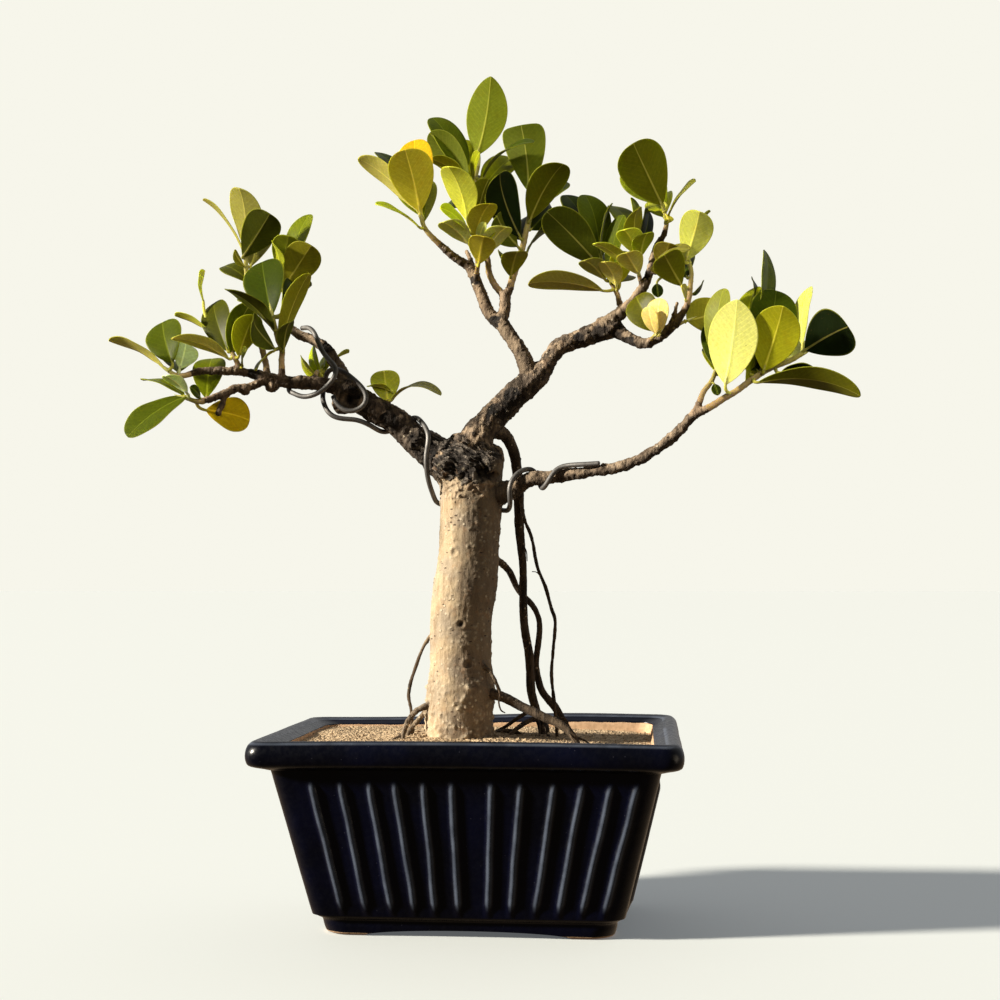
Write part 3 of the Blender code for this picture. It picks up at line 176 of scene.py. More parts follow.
# The wood. Each route is a list of (x, y, z, radius).
TRUNK = [(-10, 0, 74, 18.4), (-10.5, 0, 88, 17.4), (-11, 0, 100, 17.0), (-10, 0, 113, 16.8),
    (-10, 0, 124, 15.9), (-10.2, 0, 134, 15.4), (-10, 0, 150, 15.8), (-8, 0, 165, 15.9),
    (-6.5, 0, 176, 15.1), (-6, 0, 186, 14.9), (-5, 0, 204, 15.3), (-5, 0, 216, 15.8), (-6, 0, 223, 17.6),
    (-7.5, 0, 229, 16.6), (-8, 0, 233.5, 14.4), (-7, 0, 237, 10)]
BRANCHES = {
    "centre": [(-5, 0, 230, 12), (-1.6, 0, 240.7, 8.6), (5, 0.5, 249.3, 7.0), (18.6, 2, 263.7, 6.6),
        (26.2, 3, 269.8, 6.5), (32.3, 3.5, 277, 4.8), (38, 4, 285, 4.3), (43.5, 4, 288.7, 4.3),
        (57.7, 4, 293.4, 4.7), (64.3, 4, 295.4, 5.2), (69, 3.5, 296.5, 4.6)],
    "centre_up": [(25, 2, 271, 5), (20, 4, 284, 4), (11, 8, 298, 3.6), (9, 10, 303, 3.5)],
    "centre_left": [(10, 9, 299, 3.4), (3, 11, 306, 3.2), (-2, 13, 318, 2.9), (-7, 14, 330, 2.7),
        (-12, 12.5, 333.5, 2.2), (-17, 11, 337, 2.0), (-20, 9.6, 339.8, 1.9)],
    "centre_stub": [(-6, 14, 328, 1.8), (-7, 17, 334, 1.4), (-10, 22, 341, 1.1)],
    "centre_right": [(9, 9, 300, 3.4), (11, 12, 308, 3.0), (11, 15, 317, 2.7)],
    "high_right": [(55, 4, 293, 4.0), (61, 3.4, 297, 3.3), (71, 0, 303.4, 3.1), (77, -1, 309, 2.7),
        (83, -2, 317, 2.4), (86, -3, 324, 2.1), (88, -3, 333, 1.8), (91, -4, 339, 1.6)],
    "low_right": [(60, 4, 294, 4.4), (66, 4, 296.5, 4.5), (70, 3, 294, 3.9), (73.5, 1.5, 291.3, 3.2),
        (77.5, -1, 288.6, 2.7), (81.5, -3.5, 287.1, 2.4), (85.5, -5.5, 287.1, 2.3), (90, -7.5, 289, 2.2),
        (95, -10, 293, 2.1), (100, -12, 298, 1.9), (102, -13.3, 301.5, 1.7)],
    "low_right_stub": [(94, -10, 292, 1.7), (97, -11, 298, 1.2), (99, -9, 306, 1.0)],
    "left": [(-8, 0, 222, 13), (-18, 0, 228.5, 11), (-30, -2, 237, 8), (-37, -3, 243, 7),
        (-45, -4, 250, 6.7), (-54, -6, 254.5, 6.6), (-62, -7, 260, 6.3), (-70, -8, 266, 6)],
    "left_cut": [(-63, -8, 260, 5.8), (-67.5, -9.5, 257.5, 5.2), (-71.5, -10.5, 255.8, 4.4)],
    "left_up": [(-65, -8, 263, 4.4), (-70, -7, 272, 3.6), (-75, -4, 280, 3.2), (-79, -2, 286, 3),
        (-84, 0, 290, 2.8), (-88, 2, 292, 2.6), (-95, 5, 295, 2.3), (-98.5, 6.6, 297.4, 2.2)],
    "left_low": [(-66, -8, 264, 4.4), (-78, -10, 267, 3.7), (-87, -12, 268, 3.4), (-96, -13, 268, 3.2),
        (-110, -16, 271, 2.6), (-120, -19, 273, 2.3), (-127, -21, 273, 2), (-135, -23, 273, 1.8),
        (-139.5, -23.9, 272.7, 1.7)],
    "left_twig": [(-104, -14, 270, 2.3), (-109, -17, 268, 2.3), (-115, -20, 265, 2.1),
        (-120, -23, 264, 2), (-125, -27, 261, 1.9), (-130, -29.6, 258.8, 1.8)],
    "left_stub": [(-119, -22, 264.5, 1.7), (-123, -24.5, 263.5, 1.6), (-126, -27.5, 257, 1.5),
        (-128, -30, 250, 1.4)],
    "right": [(-2, 0, 207, 7.5), (5, -2, 210, 6.8), (11, -4, 212, 5.7), (16, -6, 213.5, 4.9),
        (25, -9, 218, 3.8), (34, -11, 219, 3.4), (42, -13, 220, 3.2), (51, -15, 221, 3),
        (60, -17, 222, 2.8), (70, -20, 223.5, 2.7), (80, -22, 227, 2.6), (90, -25, 233, 2.5),
        (100, -27, 241, 2.4), (106.5, -29.2, 248, 2.3)],
}
ROOTS = {
    "tall": [(3, 3, 244, 4), (9.5, 9, 243.6, 3.5), (12.7, 11.5, 240.5, 3.2), (15.7, 13, 233, 3),
        (17.2, 15, 222, 2.8), (18, 15.5, 210, 2.7), (18.5, 16, 192, 2.4), (20, 17, 176, 2),
        (20, 18, 162, 2.1), (20.5, 18, 146, 2.2), (23, 19, 129, 2.2), (24, 20, 111, 2.3),
        (27, 21, 100, 2.1), (31, 22, 84, 1.7)],
    "behind": [(2, 6, 181, 2.3), (9, 14.5, 177, 1.9), (13, 22, 172, 1.7), (17, 26, 163, 1.6),
        (25, 26, 154, 1.6), (28, 25, 145, 1.6), (27, 25, 133, 1.7), (26, 26, 124, 1.8),
        (29, 27.5, 111, 2), (36, 30, 102, 2.2), (41, 32, 92, 1.9), (43, 33, 82, 1.6)],
    "thin": [(19, 15, 212, 1.2), (21, 10, 200, 1), (25, 8, 190, 1), (28, 8, 175, 1), (32, 8, 165, 1),
        (35, 8, 154, 1), (37, 8, 147, 1), (36, 8, 133, 1), (35, 10, 121, 1), (36, 12, 108, 1),
        (37, 14, 96, 1), (38, 15, 83, 0.9)],
    "surface": [(-2, -3, 115, 3.6), (3, -5, 112.5, 3.0), (8, -6, 111, 2.7), (13, -6.5, 109.5, 2.5),
        (21, -7, 105.5, 2.4), (30, -8, 101.5, 2.3), (40, -9, 97, 2.2), (46, -10, 92, 2),
        (51, -11.5, 83, 1.7)],
    "ground": [(-2, 7, 82, 1.6), (5, 10.5, 89.5, 1.4), (12, 13, 91.5, 1.3), (18, 15, 90, 1.2),
        (25, 17, 83, 1.0)],
    "left_thin": [(-19, 4.5, 144, 1.5), (-24.5, 7, 142, 1.2), (-28, 8.5, 138, 1), (-31, 9, 133, 1),
        (-34, 9, 125, 1), (-37, 9, 116, 1), (-38, 9, 109, 1), (-36.5, 8, 102, 1), (-36, 8, 93, 1),
        (-34.5, 8, 83, 0.9)],
    "left_front": [(-20, -6, 110, 2.2), (-26, -8, 106, 1.7), (-32, -9, 102.5, 1.5), (-36, -10, 97, 1.4),
        (-38.5, -10.5, 88, 1.3), (-39, -10.5, 82, 1.2)],
    "left_back": [(-22, 4, 105, 2), (-28, 3, 101.5, 1.5), (-32, 2, 97.5, 1.4), (-36.5, 1.5, 92, 1.3),
        (-39, 1, 82, 1.2)],
    "hair": [(0, -9, 128, 1.3), (6, -10.5, 122, 1), (9.5, -9.5, 115, 0.9), (11, -6.5, 110, 0.9)],
}
# Fine roots too thin for the tree's skin
HAIRS = [
    [(36.5, 14, 100, 0.5), (40, 13, 97, 0.4), (43, 12.5, 95.5, 0.35), (45.5, 12, 91, 0.3),
     (46, 12, 88, 0.25)],
    [(37, 13, 98, 0.5), (41, 10, 98.5, 0.4), (43, 9, 97, 0.3), (44, 9, 93, 0.25)],
    [(9, -10.5, 116, 0.6), (10.5, -11, 112, 0.5), (10, -11.5, 108, 0.45), (11, -11, 104, 0.4),
     (13, -10, 102.5, 0.3)],
    [(21, 18, 100, 1.1), (16, 17, 97, 1.0), (12, 16.5, 94, 0.9), (7, 15.5, 91.5, 0.7), (3, 14, 90.5, 0.5)],
    [(27, 20, 98, 1.4), (22, 14, 96, 1.3), (18, 9, 93.5, 1.2), (15, 5, 91, 1.0), (13, 3, 87, 0.8)],
    [(30, 21, 96, 1.3), (32, 15, 94.5, 1.2), (33, 10, 92, 1.0), (34, 6, 87, 0.8)],
    [(25, 19, 99, 0.6), (28, 14, 97, 0.5), (29, 11, 94, 0.45), (29, 8, 90, 0.4), (28, 6, 87, 0.3)],
    [(24, 20, 110, 0.4), (27, 16, 104, 0.35), (30, 13, 101, 0.3), (34, 11, 99, 0.3), (38, 10, 94, 0.25)],
    [(18, 15.5, 205, 0.35), (16.2, 12, 200, 0.3), (17, 10, 193, 0.3), (19.4, 11, 186, 0.25)],
    [(19.2, 16, 188, 0.4), (22, 13, 183, 0.3), (22.5, 12, 178, 0.25)],
    [(31, 8, 168, 0.3), (28, 6, 172, 0.25), (25.5, 5, 172.5, 0.2)],
    [(-35, 8.5, 92, 0.6), (-39, 6, 91.5, 0.5), (-43, 5, 89, 0.4), (-46, 4.5, 86, 0.3)],
    [(-38, -10.5, 91, 0.7), (-42, -12, 89.6, 0.5), (-46, -12.5, 86.5, 0.4)],
    [(44, -9.6, 94, 0.6), (46, -13, 91, 0.5), (48.5, -15, 87.5, 0.4)],
    [(47, -10.4, 91, 0.7), (52, -8, 89.2, 0.5), (56, -6.6, 86, 0.4)],
]
# Swellings: (x, y, z, radius)
KNOTS = [(-33, -5.5, 239.5, 6.8), (-66, -9, 263, 7.4), (63, 3.6, 296, 6.0), (-17, -11, 226, 7.5),
    (-104.5, -15, 266, 3.6), (-117, -21.5, 263.5, 3.0), (-5, -13, 225, 6.0), (6, -9, 226, 7.0),
    (-20, 8, 229, 7.5), (4, 9, 231, 7.5), (-9, -8, 232, 6.5)]
# Pits with a raised rim: (x, y, z, radius, depth)
PITS = [(-12.5, -15.5, 182.1, 2.0, 1.6), (-8.4, -15.5, 146.4, 1.8, 1.0), (-4.3, -16.0, 126.8, 2.2, 1.8),
    (-34.0, -12.0, 240.4, 3.6, 1.6), (-64.6, -14.5, 258.6, 3.6, 3.6), (-76.0, -14.0, 262.0, 2.4, 1.2),
    (63.0, -2.0, 295.0, 2.6, 1.0), (2.0, -15.0, 221.0, 3.4, 4.2), (7.0, -12.5, 220.5, 2.4, 2.6),
    (-7.5, -16.5, 219.0, 2.0, 1.6), (-20.0, 12.0, 150.0, 2.2, 1.4), (4.0, 13.0, 190.0, 2.2, 1.4)]
# Patches of fair and of blackened bark: (x, y, z, radius)
PATCHES = {
    "fair": [(-6, -9, 243, 6.0), (1, -8, 241, 6.5), (5, -6, 247, 5.0), (-3, -8, 236, 4.0),
        (9, -6, 256, 4.0), (-19, -13, 232, 3.5), (33, -2, 279, 4.5), (45, 0, 292, 4.5),
        (58, -1, 298, 4.5), (40, 0, 286, 3.5), (-70, -13, 257, 4.5), (-88, 0, 295, 4.5),
        (-96, 4, 297, 4.0), (-124, -22, 275, 5.0), (-104, -18, 266, 3.5), (12, 8, 258, 6.0),
        (-56, 0, 258, 5.0)],
    "char": [(6.5, -7, 253, 4.2), (12.5, -5, 255, 4.5), (15, -5, 261, 3.4), (20, -4, 258, 5.0),
        (50, -1, 291, 2.6), (60, 2, 290.5, 5.0), (68, 1, 291, 4.5), (76, -2, 287, 4.0),
        (82, -4, 322, 3.4), (22, 12, 343, 3.6), (16, 13, 330, 3.0), (7, 8, 301, 3.0), (-4, 12, 322, 2.6),
        (-62, -14, 262, 3.5), (-46, -9, 247, 4.0), (-78, -3, 287, 3.5), (-24, -9, 230, 5.0),
        (-112, -17, 272, 3.2), (10, -4, 240, 4.0), (24, 8, 266, 5.0), (-40, 4, 246, 5.0)],
}
# How old the bark is on each route: 0 is the smooth tan trunk, 1 the dark rough branches
OLD = {"trunk": 0.0, "centre": 0.95, "left": 0.9, "centre_up": 0.7, "left_up": 0.75,
       "left_low": 0.75, "high_right": 0.55, "low_right": 0.7, "right": 0.8, "left_cut": 0.6}
TWIG = {"spur": 1.0, "centre_left": 0.75, "centre_right": 0.75, "centre_stub": 0.9,
        "low_right_stub": 0.8, "left_twig": 0.7, "left_stub": 0.6, "right": 0.25, "high_right": 0.4,
        "centre_up": 0.3, "left_low": 0.35, "left_up": 0.3, "low_right": 0.3}
ROOT = {"root_surface": 0.8, "root_left_front": 0.35, "root_left_back": 0.35}

WIRES = {
    "wire_main": [(60, -20.4, 225.2), (52, -18.8, 224.9), (45, -16.8, 224.7), (40.5, -15.8, 223.8),
        (37, -16.8, 220.3), (34, -14.8, 215.5), (31.5, -9.8, 213.8), (29.5, -4.6, 217.5),
        (27.5, -6.2, 223.2), (23, -10.0, 223.4), (18.5, -12.6, 220.5), (15.5, -14.2, 214.5),
        (15.8, -11.0, 206.5), (14.0, -3.0, 203.4), (10.2, 8.0, 203.8), (3.0, 15.4, 204.6),
        (-7, 17.8, 205.6), (-17, 13.6, 206.4), (-22.6, 5.0, 207.4), (-23.8, -4.5, 211.0),
        (-25.8, -10.5, 219.5), (-26.2, -14.0, 230.0), (-25.0, -13.2, 240.0), (-29.5, -6.6, 247.8),
        (-36.5, 1.8, 250.0), (-42.5, 6.2, 248.0), (-46.4, 0.5, 245.0), (-50.5, -5.0, 245.4),
        (-56.0, -8.8, 246.8), (-62.0, -10.4, 249.0), (-67.0, -11.4, 249.2), (-72.5, -12.2, 250.2),
        (-77.0, -12.0, 254.0), (-79.6, -9.6, 259.4), (-80.2, -5.4, 263.8), (-79.8, -4.2, 268.8),
        (-78.0, -7.8, 273.0), (-73.8, -13.2, 274.6), (-68.6, -14.8, 273.2), (-62.6, -16.2, 268.8),
        (-57.8, -17.0, 264.2), (-55.4, -17.4, 260.0), (-56.6, -17.4, 256.0), (-60.6, -17.6, 253.0),
        (-65.6, -18.2, 252.4), (-70.4, -18.0, 255.6), (-72.8, -16.8, 260.0)],
    "wire_fork": [(-97.4, -8.2, 267.0), (-96.6, -11.6, 264.2), (-93.4, -15.6, 262.2),
        (-89.0, -17.0, 260.1), (-84.0, -18.6, 260.2), (-79.0, -20.0, 262.0), (-74.6, -20.8, 265.4),
        (-71.2, -20.4, 269.8), (-71.2, -18.4, 274.4), (-74.6, -15.0, 278.0), (-78.3, -11.2, 281.8),
        (-80.7, -9.6, 285.3), (-82.8, -7.8, 289.8), (-85.2, -4.6, 294.4), (-89.2, 1.2, 298.0),
        (-94.2, 8.2, 299.0)],
}

# Each shoot has its start in the wood, the points of its stem, its radius and its leaves. The rows
# of leaves are what leaf() takes.
SHOOTS = {
    "shoot_left_tip": Shoot((-138.6, -23.7, 272.9), [(-143.5, -25, 271.3), (-147, -26, 270.2),
        (-151, -27, 270.6), (-154, -28, 272.6)], 1.5, [
        ("tan_light", -155, -28, 273, -183.2, -32, 288, 104, 17),
        ("green", -152, -28, 276, -161, -16, 299, -5, 20),
        ("aqua", -149.5, -24, 274, -150, -12, 289, 40, 15),
        ("grey_green", -150, -25, 272, -160, -2, 281, 60)]),
    "shoot_left_low": Shoot((-129, -29.2, 259.2), [(-134.5, -32, 257), (-138, -33, 256.4),
        (-142, -34, 257.6)], 1.5, [
        ("green", -142.5, -34, 259, -167.5, -49, 237.5, 40, 21),
        ("bright", -144, -34, 259, -168, -24, 269, 75),
        ("aqua", -142, -36, 260, -148, -52, 267, 140),
        ("bright", -136, -23, 259, -139.5, -1, 283, 5, 17),
        ("deep", -136, -34, 258, -138, -44, 262, 60),
        ("ochre", -136, -24, 253, -115.5, -16, 248.5, -25, 19)]),
    "shoot_left_front": Shoot((-119, -18.7, 272.6), [(-121, -20, 277), (-123, -20.5, 281),
        (-127, -17, 287), (-131, -13, 291)], 1.3, [
        ("tan_light", -125, -22, 279, -147, -45, 286.5, 113, 15),
        ("olive_dark", -126, -20, 283, -138, -5, 311, -12, 17),
        ("leaf_light", -142.5, -7, 310.5, -144, -2, 328, -82, 13),
        ("leaf_light", -136, -11, 293, -157, -8, 304, 100, 13),
        ("deep", -124, -20, 281, -113.5, -25, 307, 240, 16),
        ("lime", -120, -22, 280, -110, -31, 299.5, 230, 16),
        ("olive_dark", -118, -22, 275, -113, -34, 282, -55)]),
    "shoot_left_upright": Shoot((-100, -14, 269.4), [(-99.5, -15, 275), (-99.5, -15.8, 279),
        (-99, -17, 284), (-101, -18, 289), (-102, -20, 295), (-103, -21, 300)], 1.6, [
        ("deep", -104, -19, 300.5, -113, -3, 332, -8, 23),
        ("dark", -102, -22, 293, -119, -49, 309, 113, 18),
        ("dark", -102, -20, 284, -108, -44, 295, 240, 15),
        ("olive", -99, -20, 284, -82, -35, 319, 248, 15),
        ("dark", -97, -22, 283, -91, -37, 295, 250),
        ("dark", -97, -17, 302, -88, -2, 320, -80),
        ("dark", -99, -18, 303, -97, -8, 321, 60),
        ("olive", -102, -21, 283, -109, -31, 272, 70)]),
    "shoot_left_back": Shoot((-108, -15.4, 270.6), [(-108.5, -10.5, 274.5), (-110, -6, 279),
        (-116, 2, 296), (-120, 6, 312), (-123, 6, 324), (-124, 6, 337)], 1.7, [
        ("olive_pale", -124, 5, 340, -121.5, -17, 367, 158, 20),
        ("dark", -125, 4, 336, -105, -20, 353, 206, 19),
        ("olive_pale", -125, 8, 338, -147, 8, 368, 97, 17),
        ("olive", -124, 4, 331, -127, -6, 337, 240),
        ("olive_dark", -122, 8, 323, -139, 19, 335, 40),
        ("tan", -122, 9, 332, -122.5, 36, 356, 10, 15),
        ("deep", -119, 8, 312, -128, 33, 320, 30)]),
    "shoot_left_high": Shoot((-97.4, 6.2, 296.8), [(-100.6, 7.8, 301), (-102, 8.5, 305), (-103.5, 9, 315),
        (-104.5, 9, 322), (-104, 9, 328)], 1.6, [
        ("bright", -102, 10, 325, -92, 12, 360, -42, 19),
        ("bright", -106, 8, 328, -98, -9, 344, 200, 15),
        ("bright", -106, 6, 328, -105, -12, 339.5, 130, 12),
        ("olive", -105, 8, 319, -85.5, -12, 338, 205, 19),
        ("green", -104, 11, 318, -102, 37, 343, 10, 15)]),
    "shoot_fork_back": Shoot((-84, -11, 267.8), [(-84, -7.2, 271.8), (-84, -3.4, 274.4),
        (-84.5, 3, 275.4)], 1.2, [
        ("lime", -85, 6, 272.5, -96.5, 15, 284.5, -60),
        ("leaf_light", -83, 6, 272.5, -90.5, 16, 290.5, -50, 11),
        ("leaf_light", -81.5, 6, 273, -83, 18, 288, -50, 11),
        ("lime", -83, 6, 277, -80, 18, 284, -40),
        ("bright", -82, 6, 276, -72, 19, 288, -75),
        ("deep", -84, 8, 275, -88, 27, 276, 10)]),
    "shoot_left_top": Shoot((-46.5, -4, 251), [(-47.5, 0.4, 259.6), (-47.8, 1.6, 262),
        (-48, 2.5, 264)], 1.1, [
        ("leaf_light", -48, 1, 258.5, -48, -12, 273.5, 190, 15),
        ("leaf_light", -46, -3, 264.5, -56, -12, 266, 100, 9),
        ("tan", -46, -1, 259.5, -19.5, -9, 262, -75, 13, 0.22),
        ("green", -49, 5, 259, -51.5, 16, 274, 10, 12)]),
    "shoot_top_left": Shoot((-18.6, 10.4, 338.5), [(-22.6, 8.8, 342), (-26.5, 7, 345.6), (-30, 6, 350),
        (-32, 5.4, 356)], 1.6, [
        ("ochre", -32, 4, 358, -37, -16, 385, 185, 23),
        ("tan_light", -33, 5, 358, -63, -2, 385.5, 122, 16),
        ("deep", -33, 7, 360, -56, 14, 393, 60, 17),
        ("leaf_light", -32, 4, 349.5, -52.5, -12, 358.5, 75, 15),
        ("yellow", -32, 7, 360, -37, 15, 399, -12, 20),
        ("bright", -31, 8, 356, -43, 34, 382.5, 0, 16),
        ("olive_pale", -31, 8, 353, -33.5, 31, 382.5, 20, 14)]),
    "shoot_top_back": Shoot((11, 15, 314.5), [(8, 16.6, 318.4), (5, 19, 322.4), (2, 22, 329),
        (1, 24.5, 336), (-2, 27, 350), (-5, 30, 362), (-7, 31, 376), (-5, 30.5, 388)], 1.8, [
        ("grey_green", -10, 31, 379, -30.5, 29, 406.5, 150, 17),
        ("lime", -10, 30, 379, -29, 22, 391, 115),
        ("olive", -12, 32, 378, -32, 37, 394, 70),
        ("green", -11, 33, 380, -30, 38, 418, 35, 18),
        ("lime", -7, 33, 380, -17.5, 43, 406.5, 20, 17),
        ("green", -5, 30, 394, 2.5, 26, 435, 176, 22, 0.07, 0.16, 0.72),
        ("lime", -7, 27, 378.5, -2.5, 13, 390.5, -60, 12),
        ("deep", -2, 28, 381, 26, 6, 394, 288, 14, 0.12),
        ("green", -6, 33, 372, 2, 60, 386, 0, 19),
        ("deep", -8, 33, 368, -24, 58, 376, 20, 18),
        ("lime", -3, 33, 376, 12, 50, 398, -20, 18)]),
    "shoot_top_front": Shoot((-4.2, 13.4, 322.6), [(-3.2, 8.6, 326.6), (-2.4, 5, 329.6), (-3, 2.5, 338),
        (-5, 1, 347)], 1.3, [
        ("leaf_light", -7, 0, 351, -14, -23, 374, 145, 19),
        ("leaf_light", -6, -2, 345, -18, -20, 354, 60, 13),
        ("cream_green", -6, -1, 339, -17, -20, 347, 130, 14),
        ("ochre", -1, -1, 329, 3, -17, 340, 190, 14),
        ("ochre", -3, -1, 343, 6, -19, 356, 230, 15),
        ("olive_dark", -3, 2, 346, 3, 3, 374, 230, 16),
        ("cream_green", -1, -2, 338, 3, -11, 348, -40),
        ("lime", 0, -2, 336, 9, -11, 345, -50),
        ("cream_green", 1, 0, 333, 14, -16, 345, 238, 15)]),
    "shoot_top_right": Shoot((11, 14.6, 314.5), [(13.6, 15, 320), (15, 15, 325), (18, 14.5, 334),
        (20.5, 14, 342), (22, 14, 349), (23.5, 16, 357), (23, 18, 365)], 1.9, [
        ("black", 19, 10, 345, 10, -15, 372, 212, 21),
        ("olive_dark", 24, 12, 354, 42, -9, 378, 223, 20),
        ("olive", 14, 12, 325, 19, -8, 334, 218, 14),
        ("dark", 17, 13, 331, 8, 5, 337, 240),
        ("dark", 24, 16, 350, 34, 32, 367, 40, 15),
        ("dark", 22, 16, 338, 33, 30, 354, -85, 13),
        ("deep", 23, 20, 371, 19, 22, 407, 172, 23, 0.07, 0.16, 0.16),
        ("dark", 18, 10, 340, 8, -4, 353, 210, 16),
        ("dark", 21, 18, 345, 14, 42, 360, 0, 18),
        ("green", 24, 20, 362, 40, 38, 381, -30, 18)]),
    "shoot_mid_left": Shoot((71.4, 0, 304.5), [(69.8, 4.6, 310.6), (69, 6.6, 314), (65.5, 8.6, 321),
        (62, 10, 329)], 1.4, [
        ("dark", 60, 8, 329, 34, -7, 354, 155, 21),
        ("green", 60, 12, 333, 53, 15, 368, 38, 20),
        ("dark", 60, 13, 331, 42.5, 25, 371, 38, 19),
        ("dark", 61, 8, 332, 66, 2, 360, -85, 14),
        ("olive_pale", 63, 5, 321, 53, -12, 328, 130, 13),
        ("tan", 62, 3, 315, 25, -12, 317, 117, 16),
        ("green", 66, 4, 321, 72.5, -4.5, 352, -55, 16),
        ("tan_light", 69, 3, 317, 63, -12, 327, 140, 12),
        ("lime", 70.5, 2, 318.5, 72, -6, 333.5, 190, 12),
        ("green", 63, 13, 326, 56, 40, 340, 10, 18),
        ("olive", 66, 11, 320, 72, 36, 330, -10, 17)]),
    "shoot_mid_right": Shoot((82, -2, 315.6), [(80.6, -4.2, 319.6), (79.8, -5, 323), (79, -4, 329),
        (79, -3, 335)], 1.1, [
        ("bright", 78, -1, 338, 67.5, 17, 362, 40, 16),
        ("bright", 79, -1, 337, 77, -4, 361, 70, 13),
        ("olive", 79, -4, 336, 79, -22, 351, 230, 14),
        ("black", 80, -1, 336, 85, 6, 357, 60, 12),
        ("bright", 81, -6, 330, 84, -21, 339, 220, 12),
        ("leaf_light", 80, -7, 330.5, 73, -24, 340.5, 150, 13),
        ("leaf_light", 75.5, -9, 324, 58.5, -26, 333.5, 110, 11),
        ("tan_light", 80, -7, 321, 74, -27, 328, 150, 13)]),
    "shoot_high_tip": Shoot((90.4, -3.8, 337.6), [(93.4, -4.3, 344), (94.2, -4.5, 348),
        (93, -5, 353)], 1.3, [
        ("olive_dark", 92, -6, 356, 77.5, -28, 382, 182, 25),
        ("bright", 94, -3, 357, 76.5, 11, 384, -10, 23),
        ("olive", 94.5, -6, 350, 108, -22, 364, -75, 14),
        ("olive", 94, -7, 351, 95, -15, 345, 200),
        ("lime", 93, -2, 351, 91, 24, 368, -20, 16)]),
    "shoot_mid_front": Shoot((86, -3, 323.6), [(88.8, -5.6, 322.2), (91, -8, 321),
        (92.4, -9.6, 319.6)], 1.0, [
        ("tan", 87, -12, 323.5, 105, -27, 329, -60, 11, 0.15),
        ("brown", 91, -10, 323, 95, -24, 333, 190, 13),
        ("black", 89, -11, 315.5, 89.5, -18, 307.5, 0)]),
    "shoot_low_tip": Shoot((101.4, -13, 300.4), [(104, -14, 305), (105, -14.3, 309), (105.4, -14.4, 313),
        (106, -14.4, 320), (105, -14, 325)], 1.5, [
        ("pale", 103, -16, 325.5, 109.5, -32, 346.5, 172, 17, 0.07, 0.3),
        ("bright", 105, -12, 328, 115, -6, 353, -85, 12),
        ("olive_dark", 101, -17, 313, 92, -41, 324, 170, 16),
        ("dark", 106, -14, 309, 112, -7, 317, 80),
        ("tan_light", 103, -16, 306, 101, -27, 311, 60),
        ("deep", 104, -12, 318, 102, 12, 332, -20, 15)]),
    "shoot_low_back": Shoot((85.8, -6, 287.4), [(86, -9.8, 287.8), (86.8, -12.4, 288.4),
        (88, -14.6, 289.2)], 1.0, [
        ("cream", 90, -16, 289.5, 90.5, -20, 306.5, -40, 14),
        ("cream", 88.5, -16, 289.5, 85, -23, 302, -50, 11),
        ("olive", 88, -14, 291, 78.5, -7, 310, -20, 17)]),
    "shoot_low_right": Shoot((95, -10, 293), [(98.8, -8.2, 295), (101, -7.2, 296.2),
        (103, -6.2, 297.2)], 1.1, [
        ("olive", 104, -5.6, 297.6, 125, 14, 307, 170, 22)]),
    "shoot_right_upright": Shoot((106.4, -29.2, 248), [(109.4, -29, 255), (111, -28.8, 259),
        (115, -27.6, 264.4), (117, -26.4, 269.6)], 1.5, [
        ("olive_pale", 119.5, -27, 270, 120.5, -30, 309, -50, 18),
        ("dark", 116, -30, 262.5, 117.5, -36, 256.5, 0),
        ("lime", 118, -24, 268, 118, 2, 284, 10, 15),
        ("deep", 118, -24, 270, 119.5, -6, 299, -20, 15)]),
    "shoot_right_tip": Shoot((105.6, -29, 247.4), [(112.6, -31, 250.6), (116, -31.6, 252.4),
        (120, -32.2, 255), (126, -33, 258.4), (134, -34, 264), (142, -34, 269), (152, -33, 273),
        (158, -31.6, 276.6)], 1.8, [
        ("cream_green", 121, -38, 261, 126, -52, 299.5, 165, 24, 0.07, 0.08, 0.72),
        ("lime", 139, -38, 267.5, 147, -56, 295.5, 172, 23, 0.07, 0.08, 0.66),
        ("deep", 139, -29, 271, 147, -20, 309.5, 8, 24),
        ("lime", 132, -26, 272, 137, -12, 313, -45, 18),
        ("dark", 136, -24, 281, 137, -2, 319, 65, 15),
        ("green", 137.5, -22, 286, 143.5, -12, 331, 62, 17, 0.04),
        ("cream_green", 158.5, -29, 281, 162.5, -22, 310.5, -65, 15),
        ("black", 159, -33, 278, 177.5, -50, 286.5, 196, 25),
        ("olive_dark", 136, -38, 262, 183.5, -45, 255, 246, 19, 0.1),
        ("black", 147, -38, 266.5, 163, -46, 266.5, 250, 11),
        ("lime", 131, -31, 263, 138, -22, 288, 50, 16),
        ("cream_green", 147, -31, 272, 158, -8, 288, -10, 18),
        ("dark", 137, -32, 268, 130, -4, 280, 10, 17)]),
}


# Meshes

def linked(name, data, collection=None):
    made = bpy.data.objects.new(name, data)
    (collection or bpy.context.scene.collection).objects.link(made)
    return made


def set_values(mesh, kind, field, store):
    for key, data in store.items():
        filled = np.asarray(data, np.float32).ravel()
        mesh.attributes.new(key, kind, "POINT").data.foreach_set(field, filled)


def add_object(name, verts, faces, values=None, colours=None):
    """A smooth object from points in mm, with point values and point colours by name."""
    mesh = bpy.data.meshes.new(name)
    mesh.from_pydata((np.asarray(verts) * MM).tolist(), [], faces)
    set_values(mesh, "FLOAT", "value", values or {})
    set_values(mesh, "FLOAT_COLOR", "color", {key: np.column_stack([data, np.ones(len(verts))])
                                              for key, data in (colours or {}).items()})
    bm = bmesh.new()
    bm.from_mesh(mesh)
    bmesh.ops.recalc_face_normals(bm, faces=bm.faces)
    bm.to_mesh(mesh)
    bm.free()
    mesh.shade_smooth()
    return linked(name, mesh)


